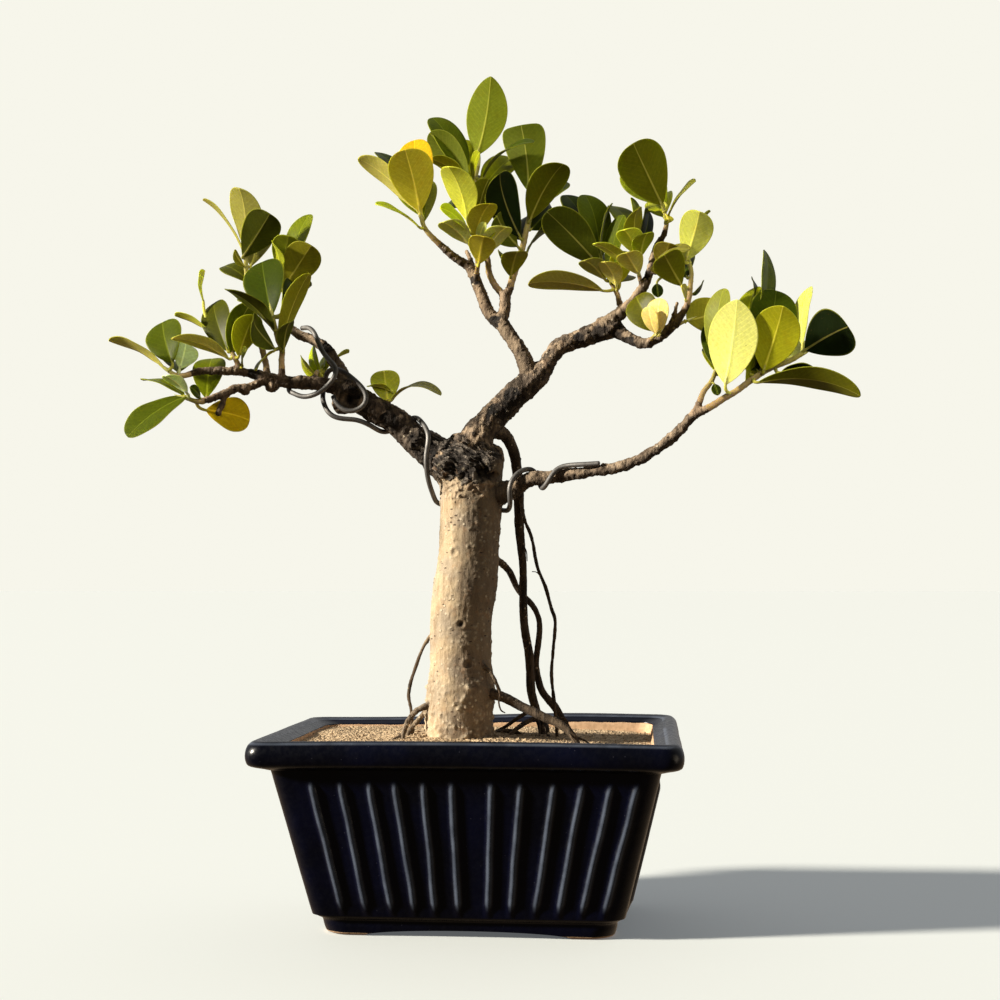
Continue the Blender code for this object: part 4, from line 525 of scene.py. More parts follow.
class Build:
    """Gathers closed shells into one mesh, with values and colours for each of their points."""

    def __init__(self):
        self.verts, self.faces, self.values, self.colours = [], [], {}, {}
        self.count = 0

    def add(self, verts, faces, values=None, colours=None):
        verts = np.asarray(verts, float)
        self.verts.append(verts)
        self.faces.extend([tuple(i + self.count for i in face) for face in faces])
        for store, given, width in ((self.values, values or {}, 0), (self.colours, colours or {}, 3)):
            for key, data in given.items():
                shape = (len(verts), width) if width else (len(verts),)
                store.setdefault(key, []).append(np.broadcast_to(np.asarray(data, float), shape))
        self.count += len(verts)

    def make(self, name):
        return add_object(name, np.concatenate(self.verts), self.faces,
                          {k: np.concatenate(v) for k, v in self.values.items()},
                          {k: np.concatenate(v) for k, v in self.colours.items()})


def settle(item):
    """Gives an object the mesh that its modifiers make."""
    bpy.context.view_layer.update()
    graph = bpy.context.evaluated_depsgraph_get()
    mesh = bpy.data.meshes.new_from_object(item.evaluated_get(graph))
    item.modifiers.clear()
    item.data = mesh


def modify(item, kind, **settings):
    step = item.modifiers.new(kind.lower(), kind)
    for key, value in settings.items():
        setattr(step, key, value)


def ball(subdivisions, radius):
    """The points and faces of a ball."""
    bm = bmesh.new()
    bmesh.ops.create_icosphere(bm, subdivisions=subdivisions, radius=radius)
    points = np.array([v.co[:] for v in bm.verts])
    faces = [tuple(v.index for v in f.verts) for f in bm.faces]
    bm.free()
    return points, faces


def ring_faces(rows, width):
    """The faces between closed rings of points."""
    found = []
    for i in range(rows - 1):
        for j in range(width):
            k = (j + 1) % width
            found.append((i * width + j, i * width + k, (i + 1) * width + k, (i + 1) * width + j))
    return found


def spline(a, b, c, d, t):
    """A point between b and c on the smooth curve through all four."""
    return 0.5 * (2 * b + (c - a) * t + (2 * a - 5 * b + 4 * c - d) * t * t
                  + (3 * b - a - 3 * c + d) * t ** 3)


def smooth_route(points, step):
    """Points about a step apart on a smooth curve through the rows, whatever they hold."""
    rows = np.asarray(points, float)
    ends = np.vstack([2 * rows[0] - rows[1], rows, 2 * rows[-1] - rows[-2]])
    found = []
    for i in range(1, len(ends) - 2):
        a, b, c, d = ends[i - 1:i + 3]
        pieces = max(1, int(round(np.linalg.norm((c - b)[:3]) / step)))
        found.extend(spline(a, b, c, d, k / pieces) for k in range(pieces))
    found.append(rows[-1])
    return np.array(found)


def run_along(centres):
    """How far along a line each of its points is."""
    return np.concatenate([[0], np.cumsum(np.linalg.norm(np.diff(centres, axis=0), axis=1))])


def tube_shell(route, sides):
    """A round bar along (x, y, z, radius) rows: its points, its faces and how far along each is."""
    route = np.asarray(route, float)
    centres, radii = route[:, :3], route[:, 3]
    along = np.gradient(centres, axis=0)
    along /= np.linalg.norm(along, axis=1)[:, None]
    run = run_along(centres)
    first = np.cross(along[0], (0.31, 0.22, 0.93) if abs(along[0][2]) < 0.9 else (1, 0, 0))
    frame_x = first / np.linalg.norm(first)
    turn = np.linspace(0, 2 * math.pi, sides, endpoint=False)
    rows, runs = [], []

    def ring(centre, direction, radius, at):
        nonlocal frame_x
        frame_x = frame_x - direction * frame_x.dot(direction)
        frame_x = frame_x / np.linalg.norm(frame_x)
        frame_y = np.cross(direction, frame_x)
        rows.append(centre + radius * (np.cos(turn)[:, None] * frame_x
                                       + np.sin(turn)[:, None] * frame_y))
        runs.append(np.full(sides, at))

    caps = (0.35, 0.7, 0.92)
    for share in caps:
        back = math.sqrt(1 - share ** 2) * radii[0] * 0.6
        ring(centres[0] - along[0] * back, along[0], radii[0] * share, run[0])
    for i in range(len(route)):
        ring(centres[i], along[i], radii[i], run[i])
    for share in reversed(caps):
        ahead = math.sqrt(1 - share ** 2) * radii[-1] * 0.6
        ring(centres[-1] + along[-1] * ahead, along[-1], radii[-1] * share, run[-1])
    faces = ring_faces(len(rows), sides)
    count = len(rows) * sides
    last = count - sides
    faces.extend((count, (j + 1) % sides, j) for j in range(sides))
    faces.extend((count + 1, last + j, last + (j + 1) % sides) for j in range(sides))
    rows.append(rows[0].mean(axis=0)[None])
    rows.append(rows[-2].mean(axis=0)[None])
    runs.extend([[run[0]], [run[-1]]])
    return np.concatenate(rows), faces, np.concatenate(runs)


def fbm(point, scale, octaves=3):
    return noise.fractal(Vector(point) / scale, 1.0, 2.0, octaves, noise_basis="PERLIN_ORIGINAL")


def smooth_step(low, high, value):
    share = np.clip((value - low) / (high - low), 0, 1)
    return share * share * (3 - 2 * share)


def share_along(point, a, b):
    """Where between a and b a point is nearest to their line, from 0 to 1."""
    return max(0.0, min(1.0, (point - a).dot(b - a) / (b - a).length_squared))


# Materials

class Value:
    """What a node gives, for use in sums."""

    def __init__(self, nodes, socket):
        self.math = nodes.math
        self.socket = socket

    def __add__(self, other):
        return self.math("ADD", self, other)

    def __sub__(self, other):
        return self.math("SUBTRACT", self, other)

    def __rsub__(self, other):
        return self.math("SUBTRACT", other, self)

    def __mul__(self, other):
        return self.math("MULTIPLY", self, other)

    def __truediv__(self, other):
        return self.math("DIVIDE", self, other)


class Nodes:
    """A short way to write a node tree."""

    def __init__(self, tree):
        self.tree = tree

    def put(self, socket, value):
        if isinstance(value, Value):
            self.tree.links.new(value.socket, socket)
        elif isinstance(value, tuple) and len(value) == 3 and socket.type == "RGBA":
            socket.default_value = (*value, 1.0)
        else:
            socket.default_value = value

    def node(self, kind, inputs, output=0, **settings):
        """What a new node gives, from its inputs by name or number."""
        made = self.tree.nodes.new(kind)
        for key, value in settings.items():
            setattr(made, key, value)
        for key, value in inputs.items():
            self.put(made.inputs[key], value)
        return Value(self, made.outputs[output])

    def place(self, kind="Object"):
        return self.node("ShaderNodeTexCoord", {}, kind)

    def scaled(self, vector, scale, turn=(0.0, 0.0, 0.0)):
        return self.node("ShaderNodeMapping", {"Vector": vector, "Scale": scale, "Rotation": turn})

    def math(self, operation, a, b=0.0):
        return self.node("ShaderNodeMath", {0: a, 1: b}, operation=operation)

    def noise(self, vector, scale, detail=3.0, roughness=0.5):
        return self.node("ShaderNodeTexNoise", {"Vector": vector, "Scale": scale, "Detail": detail,
                                                "Roughness": roughness}, "Fac")

    def cells(self, vector, scale, output="Distance"):
        return self.node("ShaderNodeTexVoronoi", {"Vector": vector, "Scale": scale}, output)

    def spots(self, vector, scale, low, high):
        """1 in scattered spots and 0 between them."""
        return self.ranged(self.cells(vector, scale), low, high, 1.0, 0.0)

    def ranged(self, value, low, high, start=0.0, end=1.0, kind="SMOOTHSTEP"):
        return self.node("ShaderNodeMapRange", {0: value, 1: low, 2: high, 3: start, 4: end},
                         interpolation_type=kind)

    def mix(self, share, a, b, blend="MIX"):
        return self.node("ShaderNodeMix", {0: share, 6: a, 7: b}, 2, data_type="RGBA",
                         blend_type=blend)

    def layers(self, base, *rows):
        """Colours laid over a base, each by its share."""
        for share, *rest in rows:
            base = self.mix(share, base, *rest)
        return base

    def attribute(self, name, output="Fac"):
        return self.node("ShaderNodeAttribute", {}, output, attribute_name=name)


class Look(Nodes):
    """A material, whose fixed numbers are set on its shader."""

    def __init__(self, name, roughness, **fixed):
        self.material = bpy.data.materials.new(name)
        self.material.use_nodes = True
        super().__init__(self.material.node_tree)
        self.shader = self.tree.nodes["Principled BSDF"]
        self.shader.inputs["Roughness"].default_value = roughness
        for key, value in fixed.items():
            self.shader.inputs[key.replace("_", " ")].default_value = value

    def finish(self, colour, roughness=None, height=None, distance=0.0, strength=0.0):
        self.put(self.shader.inputs["Base Color"], colour)
        if roughness is not None:
            self.put(self.shader.inputs["Roughness"], roughness)
        if height is not None:
            normal = self.node("ShaderNodeBump", {"Height": height, "Distance": distance,
                                                  "Strength": strength})
            self.put(self.shader.inputs["Normal"], normal)
        return self.material


def leaf_material():
    """Leathery blades: glossy above, matt below, with a pale midrib, fine side veins and specks."""
    n = Look("fig leaf", 0.42, Specular_IOR_Level=0.07, Subsurface_Weight=0.65, IOR=1.46,
             Subsurface_Scale=0.0012, Subsurface_Radius=(0.9, 1.0, 0.2))
    place = n.place()
    upper, run, off, edge = (n.attribute(key) for key in ("upper", "run", "off", "edge"))
    blade = 1.0 - n.attribute("stalk")
    blotch = n.noise(place, 160.0, 4.0, 0.6)
    fine = n.noise(place, 900.0, 2.0)
    away = n.math("ABSOLUTE", off)
    wave = n.math("SINE", (run - away * 0.95) * 2.1 + (blotch - 0.5) * 1.6)
    vein = n.ranged(wave, 0.80, 0.99) * n.ranged(away, 0.6, 2.0) * blade
    rib_width = n.ranged(run, 0.0, 34.0, 0.62, 0.22, "LINEAR")
    rib = n.ranged(away / rib_width, 0.55, 1.15, 1.0, 0.0) * blade
    rim = n.ranged(edge, 0.93, 0.985) * blade
    specks = n.spots(place, 420.0, 0.10, 0.17) * n.ranged(n.noise(place, 45.0, 1.0), 0.52, 0.66)
    pale = n.mix(upper, (0.55, 0.47, 0.12), (0.22, 0.25, 0.03))
    base = n.layers(
        n.mix(upper, n.attribute("under_tone", "Color"), n.attribute("upper_tone", "Color")),
        (n.ranged(blotch, 0.50, 0.72, 0.0, 0.5), (1.0, 0.86, 0.6), "MULTIPLY"),
        (n.ranged(fine, 0.3, 0.7, 0.0, 0.35), (0.55, 0.55, 0.4), "MULTIPLY"),
        (vein * 0.22, (1.8, 1.7, 1.6), "MULTIPLY"),
        (rib * 0.8, (1.9, 1.8, 1.8), "MULTIPLY"),
        (rib * n.ranged(upper, 0.0, 1.0, 0.26, 0.14), pale),
        (rim * 0.32, (0.34, 0.33, 0.03)),
        (specks * 0.5, (0.10, 0.06, 0.015)))
    gloss = n.ranged(upper, 0.0, 1.0, 0.56, 0.38) + (blotch - 0.5) * 0.12
    return n.finish(base, gloss, vein * -0.12 + fine * 0.30, 0.0001, 0.45)


def bark_material():
    """Tan young bark with pale dots, dark rough old bark and blackened scars, with painted shade on the
    side away from the light, under the branches and in the pits and hollows.
    """
    n = Look("fig bark", 0.85, Specular_IOR_Level=0.35)
    place = n.place()
    dark, scar, root, tan = (n.attribute(key) for key in ("old", "scar", "root", "twig"))
    broad = n.noise(place, 55.0, 4.0, 0.6)
    streak = n.noise(n.scaled(place, (1.0, 1.0, 0.22)), 330.0, 4.0, 0.62)
    grain = n.noise(place, 1500.0, 3.0, 0.6)
    torn = n.noise(n.scaled(place, (0.16, 0.5, 1.0), (0.0, 0.52, 0.0)), 620.0, 4.0, 0.65)
    # Painted shade on the side away from the light, mottled by broad noise
    side_shade_and_mottle = n.attribute("lee") + (broad - 0.5) * 0.9
    patch = n.ranged(n.noise(place, 140.0, 4.0, 0.65), 0.50, 0.60)
    fibre = n.ranged(n.attribute("fibre") * 1.3 + torn, 0.80, 1.75)
    rust = n.ranged(n.noise(place, 170.0, 4.0, 0.7), 0.56, 0.66)
    dots = n.spots(place, 270.0, 0.14, 0.23) * n.ranged(n.noise(place, 90.0, 2.0), 0.46, 0.60)
    dots = dots * n.ranged(scar, 0.0, 1.0, 1.0, 0.2)
    pits = n.spots(n.scaled(place, (1.0, 1.0, 2.5)), 190.0, 0.12, 0.21)
    pits = pits * n.ranged(n.noise(place, 110.0, 2.0), 0.42, 0.54)

    def streaked(low, high, a, b):
        return n.mix(n.ranged(streak, low, high), a, b)

    base = n.layers(
        n.mix(n.ranged(broad, 0.38, 0.62), (0.56, 0.43, 0.27), (0.43, 0.345, 0.245)),
        (n.ranged(streak, 0.45, 0.70, 0.0, 0.65), (0.27, 0.18, 0.10)),
        # Painted shade on the side of the wood away from the light
        (n.ranged(side_shade_and_mottle, 0.25, 0.85, 0.0, 0.62), (0.115, 0.082, 0.056)),
        (dark, n.mix(patch * 0.8, streaked(0.40, 0.62, (0.175, 0.132, 0.098), (0.036, 0.025, 0.017)),
                     (0.44, 0.325, 0.22))),
        (tan, streaked(0.40, 0.65, (0.44, 0.315, 0.20), (0.13, 0.083, 0.05))),
        (root, streaked(0.42, 0.66, (0.110, 0.076, 0.047), (0.022, 0.015, 0.010))),
        (scar, n.mix(fibre, (0.028, 0.021, 0.016), (0.260, 0.220, 0.180))),
        (n.attribute("fair"), streaked(0.42, 0.60, (0.60, 0.45, 0.30), (0.20, 0.135, 0.085))),
        (n.attribute("char"), streaked(0.45, 0.70, (0.012, 0.009, 0.007), (0.060, 0.045, 0.035))),
        (n.attribute("ring") * 0.75, (0.075, 0.048, 0.032)),
        # Painted shade on the undersides of the branches
        (n.attribute("under") * 0.72, (0.030, 0.021, 0.014)),
        (rust * n.ranged(dark, 0.0, 0.5, 0.30, 0.0), (0.42, 0.235, 0.115)),
        (dots * 0.8, (0.66, 0.56, 0.41)),
        (pits * 0.85, (0.075, 0.045, 0.028)),
        # Painted shade in the pits and hollows
        (n.attribute("pit"), (0.018, 0.012, 0.009)),
        (n.attribute("bump") * 0.75, (0.66, 0.55, 0.39)),
        (n.ranged(grain, 0.3, 0.7, 0.0, 0.35), (0.45, 0.42, 0.38), "MULTIPLY"))
    height = streak * 0.9 + grain * 0.25 + dots * 0.5 - pits * 0.6 + torn * scar * 1.2
    deep = n.math("MAXIMUM", dark, scar) * 0.65 + 0.35
    return n.finish(base, n.ranged(grain, 0.2, 0.8, 0.78, 0.95), height * deep, 0.0017, 0.95)


def glaze_material():
    """Navy glaze, thinner and paler on the crests, where the paleness is also painted highlight, over clay
    that shows inside and under the foot.
    """
    n = Look("navy glaze", 0.28, Specular_IOR_Level=0.32, IOR=1.5)
    place = n.place()
    broad = n.noise(place, 28.0, 3.0, 0.55)
    fine = n.noise(place, 420.0, 3.0, 0.6)
    dip = n.noise(place, 130.0, 2.0)
    thin = n.ranged(n.attribute("crest"), 0.25, 0.95) * n.ranged(dip, 0.30, 0.70, 0.6, 1.0)
    glaze = n.layers(
        n.mix(n.ranged(broad, 0.35, 0.68), (0.0009, 0.0012, 0.0042), (0.0014, 0.0021, 0.0105)),
        # Paler glaze on the rib crests and the rim's top edge: glaze worn thin there, brightened as
        # painted highlight
        (thin, (0.085, 0.102, 0.140)),
        (n.spots(place, 240.0, 0.035, 0.075) * 0.5, (0.05, 0.05, 0.07)))
    ware = n.layers(
        n.mix(n.ranged(broad, 0.35, 0.65), (0.66, 0.44, 0.27), (0.50, 0.33, 0.20)),
        (n.ranged(fine, 0.35, 0.7, 0.0, 0.5), (0.33, 0.20, 0.11)))
    limit = n.ranged(n.attribute("bare") + (dip - 0.5) * 0.35, 0.46, 0.54)
    rough = n.ranged(fine, 0.3, 0.7, 0.22, 0.34) + limit * 0.6
    height = broad * 2.0 + fine * n.ranged(limit, 0.0, 1.0, 0.16, 0.6) + dip * 0.5
    return n.finish(n.mix(limit, glaze, ware), rough, height, 0.0007, 0.5)


def soil_material():
    n = Look("sandy soil", 0.95, Specular_IOR_Level=0.25)
    place = n.place()
    broad = n.noise(place, 30.0, 4.0, 0.6)
    coarse = n.noise(place, 260.0, 4.0, 0.65)
    tint = n.node("ShaderNodeSeparateColor", {"Color": n.cells(place, 700.0, "Color")})
    base = n.layers(
        n.mix(n.ranged(broad, 0.35, 0.68), (0.64, 0.47, 0.29), (0.50, 0.36, 0.215)),
        (n.ranged(coarse, 0.42, 0.68, 0.0, 0.55), (0.34, 0.235, 0.14)),
        (n.ranged(tint, 0.75, 0.95, 0.0, 0.55), (0.66, 0.52, 0.34)),
        (n.ranged(tint, 0.25, 0.05, 0.0, 0.55), (0.13, 0.085, 0.05)),
        (n.attribute("darker_soil"), (0.12, 0.075, 0.045)))
    return n.finish(base, None, coarse * 1.2 + n.cells(place, 700.0) * -0.8, 0.0012, 0.9)


def grain_material():
    n = Look("soil grains", 0.9, Specular_IOR_Level=0.3)
    place = n.place()
    base = n.layers(
        n.mix(n.attribute("tint"), (0.24, 0.155, 0.085), (0.62, 0.48, 0.31)),
        (n.ranged(n.noise(place, 900.0, 3.0), 0.3, 0.7, 0.0, 0.5), (0.18, 0.12, 0.07)))
    return n.finish(base, None, n.noise(place, 1600.0, 2.0), 0.0003, 0.7)


def wire_material():
    """Grey anodised aluminium, dulled and a little scratched along its length."""
    n = Look("aluminium wire", 0.4, Metallic=1.0)
    place = n.place()
    dull = n.noise(place, 120.0, 3.0, 0.6)
    fine = n.noise(place, 1400.0, 3.0, 0.6)
    base = n.layers(
        n.mix(n.ranged(dull, 0.35, 0.68), (0.24, 0.23, 0.22), (0.15, 0.145, 0.14)),
        (n.ranged(fine, 0.56, 0.72, 0.0, 0.5), (0.32, 0.31, 0.30)))
    return n.finish(base, n.ranged(dull, 0.3, 0.7, 0.58, 0.72), fine, 0.0001, 0.5)


def mesh_material():
    n = Look("black mesh", 0.6)
    fine = n.noise(n.place(), 800.0, 3.0)
    base = n.mix(fine, (0.012, 0.012, 0.013), (0.035, 0.034, 0.032))
    return n.finish(base, n.ranged(fine, 0.3, 0.7, 0.5, 0.7), fine, 0.0002, 0.5)


# Pot and soil

def plan_ring(size, corner, straight, steps):
    """Points round a rectangle with rounded corners, anticlockwise, in mm."""
    half_x, half_y = size[0] / 2 - corner, size[1] / 2 - corner
    found = []
    signs = ((1, 1), (-1, 1), (-1, -1), (1, -1))
    for quarter, (sx, sy) in enumerate(signs):
        for k in range(steps + 1):
            turn = math.radians(90 * (quarter + k / steps))
            found.append((POT_X + sx * half_x + corner * math.cos(turn),
                          sy * half_y + corner * math.sin(turn)))
        nx, ny = signs[(quarter + 1) % 4]
        turn = math.radians(90 * (quarter + 1))
        end = (POT_X + nx * half_x + corner * math.cos(turn), ny * half_y + corner * math.sin(turn))
        count = straight[quarter % 2]
        last = found[-1]
        for k in range(1, count):
            share = k / count
            found.append((last[0] + (end[0] - last[0]) * share,
                          last[1] + (end[1] - last[1]) * share))
    return np.array(found)


def grown(size, by):
    return (size[0] + 2 * by, size[1] + 2 * by)


def rim_warp(x, y, z):
    """The hand-pressed rim bows up along the back, most at its right, and a little at mid front."""
    share = max(0.0, (z - 60.0) / (POT_HEIGHT - 60.0))
    front = math.cos(math.pi * x / RIM[0]) * max(0.0, -y / RIM[1] * 2)
    bow = 3.0 * math.exp(-((x - 38.0) / 65.0) ** 2) + 1.6 * max(0.0, x / RIM[0] * 2) ** 2
    return share * (front + bow * max(0.0, y / RIM[1] * 2))


def cavity_sections(shrink):
    inner_foot, inner_neck = grown(BODY_FOOT, -WALL), grown(NECK, -WALL)
    neck_z = POT_HEIGHT - RIM_DEPTH
    return [(grown(inner_foot, -4 - shrink), CORNER - 4, FLOOR_TOP + shrink),
            (grown(inner_foot, -shrink), CORNER - 3, FLOOR_TOP + 4 + shrink),
            (grown(inner_neck, -shrink), CORNER - 2, neck_z),
            (grown(inner_neck, 3 - shrink), CORNER - 1, POT_HEIGHT - 3)]


def rib_rise(x, y, z):
    """How far a point of the outer wall stands out on a rib, as a share of the full rise."""
    low, high = RIB_SPAN
    if not low - 1 < z < high + 1:
        return 0.0
    share = (z - low) / (high - low)
    ends = smooth_step(-0.01, 0.07, share) * smooth_step(1.01, 0.90, share)
    wander = 0.45 * noise.noise(Vector((x / 14.0, y / 14.0, z / 17.0)))
    on_side = abs(abs(x - POT_X) - (BODY_FOOT[0] / 2 + share * (NECK[0] - BODY_FOOT[0]) / 2)) < 2.2
    if on_side:
        routes = [((i + 0.5) / SIDE_RIBS * 2 - 1) for i in range(SIDE_RIBS)]
        gap = min(abs(y + wander - r * (42 + 14 * share)) for r in routes)
    else:
        gap = min(abs(x - POT_X + wander - (foot + (top - foot) * share))
                  for foot, top in zip(FRONT_RIB_FEET, FRONT_RIB_TOPS))
    reach = RIB_WIDTH / 2
    return ends * math.cos(math.pi / 2 * min(1.0, gap / reach)) ** 1.4


def pot_rows():
    """The pot's sections from under the foot, up the outside and down the inside, and where the
    inside begins. Each is (length, depth, corner, z)."""
    neck_z = POT_HEIGHT - RIM_DEPTH
    under = grown(FOOT, -FOOT_WALL)
    outer = [(FOOT, -2.5, 3, 0), (FOOT, -1.2, 3, 0.7), (FOOT, -0.4, 3, 3.0), (FOOT, 0.5, 2, 7),
             (FOOT, 2.4, 0, 8.8), (BODY_FOOT, -0.8, 0, 11.5), (BODY_FOOT, 0.8, 0, 15.5),
             (NECK, -0.1, 0, neck_z - 1.5), (NECK, 2.2, 0, neck_z + 0.6), (RIM, -2.2, 0, neck_z + 2.4),
             (RIM, -0.5, 0, neck_z + 4.6), (RIM, -0.1, 0, neck_z + 8.5), (RIM, -1.0, 0, POT_HEIGHT - 2.0),
             (RIM, -3.2, -1, POT_HEIGHT), (RIM, -5.8, -1.5, POT_HEIGHT + 0.05),
             (RIM, -8.2, -2, POT_HEIGHT - 0.9)]
    profile = [np.array((*grown(size, by), CORNER + more, z)) for size, by, more, z in outer]
    rows = [(*under, CORNER - 4, 4.0), (*under, CORNER - 4, 0.6), (*grown(under, 0.6), CORNER - 4, 0)]
    for i in range(len(profile) - 1):
        a, b, c, d = (profile[k] for k in (max(0, i - 1), i, i + 1, min(len(profile) - 1, i + 2)))
        straight = abs(c[3] - b[3]) > TALL
        pieces = 36 if straight else 4
        for k in range(pieces):
            t = k / pieces
            rows.append(b + (c - b) * t if straight else spline(a, b, c, d, t))
    rows.append(profile[-1])
    first_inner = len(rows)
    low = rows[-1]
    for size, corner, z in reversed(cavity_sections(0.0)):
        high = np.array((*size, corner, z))
        rows.extend(low + (high - low) * k / 6 for k in range(1, 7))
        low = high
    return rows, first_inner


def make_pot():
    rows, first_inner = pot_rows()
    verts, crest, bare = [], [], []
    for i, (size_x, size_y, corner, z) in enumerate(rows):
        z = max(0.0, z)
        inside = i >= first_inner
        # A pale band on the rim's top edge: glaze worn thin, and painted highlight
        worn = 0.0 if inside else 0.8 * math.exp(-((z - RIM_CREST) / 0.8) ** 2)
        clay = smooth_step(1.5, 5.0, POT_HEIGHT - z) if inside else smooth_step(1.9, 0.5, z)
        for x, y in plan_ring((size_x, size_y), corner, (230, 170), 10):
            rise = 0.0 if inside else rib_rise(x, y, z)
            on_side = abs(abs(x - POT_X) - size_x / 2) < 0.5
            out = (math.copysign(1, x - POT_X), 0) if on_side else (0, math.copysign(1, y))
            lump = -0.25 - 0.3 * noise.noise(Vector((x / 34.0, y / 34.0, z / 30.0 + 7)))
            lump *= 1.0 if 6 < z and not inside else 0.0
            shift = Vector(out) * (rise * RIB_RISE + min(0.0, lump))
            verts.append((x + shift.x, y + shift.y, z + rim_warp(x, y, z)))
            crest.append(max(rise, worn))
            bare.append(float(clay))
    width = len(verts) // len(rows)
    faces = ring_faces(len(rows), width)
    faces.append(tuple(range(width)))
    faces.append(tuple(range((len(rows) - 1) * width, len(rows) * width)))
    pot = add_object("glazed_pot", verts, faces, {"crest": crest, "bare": bare})
    cutters = bpy.data.collections.new("pot_cutters")
    bpy.context.scene.collection.children.link(cutters)
    for side in (-1, 1):
        add_cylinder(cutters, (POT_X + side * DRAIN_OFFSET, 0, 5), 48, (DRAIN_RADIUS, DRAIN_RADIUS, 30))
    for length, axis in zip(FOOT, "XY"):
        add_cylinder(cutters, (POT_X, 0, 0), 64, ((length - ARCH_INSET) / 2, FOOT_ARCH, 260), axis)
    modify(pot, "BOOLEAN", operation="DIFFERENCE", solver="MANIFOLD", operand_type="COLLECTION",
           collection=cutters)
    settle(pot)
    for item in list(cutters.objects):
        bpy.data.objects.remove(item)
    bpy.data.collections.remove(cutters)
    pot.data.shade_smooth()
    pot.data.set_sharp_from_angle(angle=math.radians(50))
    return pot


def add_cylinder(collection, centre, sides, size, seen_along=None):
    """A cutter that stands up, or lies with its length across X or Y."""
    bm = bmesh.new()
    bmesh.ops.create_cone(bm, cap_ends=True, segments=sides, radius1=1, radius2=1, depth=1)
    bmesh.ops.scale(bm, verts=bm.verts, vec=Vector(size) * MM)
    quarter = math.radians(90)
    if seen_along:
        bmesh.ops.rotate(bm, verts=bm.verts, matrix=Matrix.Rotation(quarter, 3, "X"))
    if seen_along == "Y":
        bmesh.ops.rotate(bm, verts=bm.verts, matrix=Matrix.Rotation(quarter, 3, "Z"))
    bmesh.ops.translate(bm, verts=bm.verts, vec=Vector(centre) * MM)
    bmesh.ops.recalc_face_normals(bm, faces=bm.faces)
    mesh = bpy.data.meshes.new("cutter")
    bm.to_mesh(mesh)
    bm.free()
    return linked("cutter", mesh, collection)


def soil_height(x, y):
    """The soil is banked round the trunk, rises to the back and sinks to the right."""
    mound = 3.0 * math.exp(-((x + 10) ** 2 + y ** 2) / 40.0 ** 2)
    roll = 0.8 * noise.noise(Vector((x / 22.0, y / 22.0, 3.0)))
    return SOIL_TOP + mound + roll + y / 75.0 * 1.2 - max(0.0, x - 30) / 60.0 * 2.2


def make_soil():
    """A closed body: its top follows the solids' soil, with crumbs, and its sides lie on the wall."""
    floor, side, neck, lip = cavity_sections(SOIL_GAP)
    share = (SOIL_TOP - neck[2]) / (lip[2] - neck[2])
    edge = tuple(a + (b - a) * share for a, b in zip(neck[0], lip[0]))
    ring = plan_ring(edge, CORNER - 1.5, SOIL_STEPS, 6)
    verts, darker_soil = [], []
    for s in np.sin(np.linspace(0.02, 1, 80) * math.pi / 2):
        for x, y in ring:
            px, py = POT_X + (x - POT_X) * s, y * s
            base = Vector((px, py, 0))
            crumb = 0.55 * noise.noise(base / 2.6) + 0.35 * noise.noise(base / 1.3 + Vector((9, 0, 0)))
            clod = 0.9 * max(0.0, noise.noise(base / 6.0 + Vector((0, 5, 0)))) ** 1.5
            fade = 1.0 if s < 0.985 else 0.3
            verts.append((px, py, soil_height(px, py) + fade * (crumb + clod)))
            # A darker patch of soil to the right of and behind the trunk, and a little darker on the sides
            # and bottom
            near = math.exp(-(((px - 26) / 20) ** 2 + ((py - 14) / 18) ** 2))
            darker_soil.append(0.55 * near * (0.5 + 0.5 * noise.noise(base / 5.0)))
    for size, corner, z in (side, (*floor[:2], SOIL_FLOOR)):
        for x, y in plan_ring(size, corner, SOIL_STEPS, 6):
            verts.append((x, y, z))
            darker_soil.append(0.2)
    width = len(ring)
    rows = len(verts) // width
    faces = [tuple(reversed(range(width))), *ring_faces(rows, width),
             tuple(range((rows - 1) * width, rows * width))]
    return add_object("sandy_soil", verts, faces, {"darker_soil": darker_soil})


def make_grains():
    """Loose grit on the soil, thicker round the foot of the trunk."""
    rng = np.random.default_rng(11)
    shape, shape_faces = ball(1, 1.0)
    out = Build()
    for _ in range(GRAIN_COUNT):
        x, y = POT_X + rng.uniform(-89, 89), rng.uniform(-64, 64)
        if rng.random() < 0.25:
            turn, far = rng.uniform(0, 2 * math.pi), rng.uniform(17, 34)
            x, y = -10 + far * math.cos(turn), far * math.sin(turn)
        size = 0.28 + 0.65 * rng.random() ** 3
        lumps = 1 + rng.uniform(-0.22, 0.22, len(shape))
        squash = rng.uniform(0.6, 1.0, 3)
        twist = np.array(Matrix.Rotation(rng.uniform(0, 6.28), 3, Vector(rng.normal(size=3))))
        points = (shape * lumps[:, None] * squash) @ twist.T * size
        points += (x, y, soil_height(x, y) + size * 0.25)
        out.add(points, shape_faces, {"tint": rng.random()})
    return out.make("soil_grains")


# Tree

def swollen(route):
    """A route with the thickness of its bark uneven."""
    return [(*p[:3], p[3] * (1 + 0.035 * noise.noise(Vector(p[:3]) / 9.0))) for p in route]


def wood_routes():
    """(name, smooth route) of every part of the tree, thick ones first."""
    found = [("trunk", smooth_route(swollen(TRUNK), 2.0))]
    found += [(name, smooth_route(swollen(route), 1.2)) for name, route in BRANCHES.items()]
    found += [("root_" + name, smooth_route(route, 1.5)) for name, route in ROOTS.items()]
    for shoot in SHOOTS.values():
        seat = Vector(shoot.stem[0])
        out = (Vector(shoot.stem[1]) - seat).normalized()
        thick = shoot.radius * 1.1
        spur = [(*shoot.start, thick * 1.15), (*(seat - 1.6 * out), thick), (*(seat - 0.2 * out), thick)]
        found.append(("spur", smooth_route(spur, 1.0)))
    return found


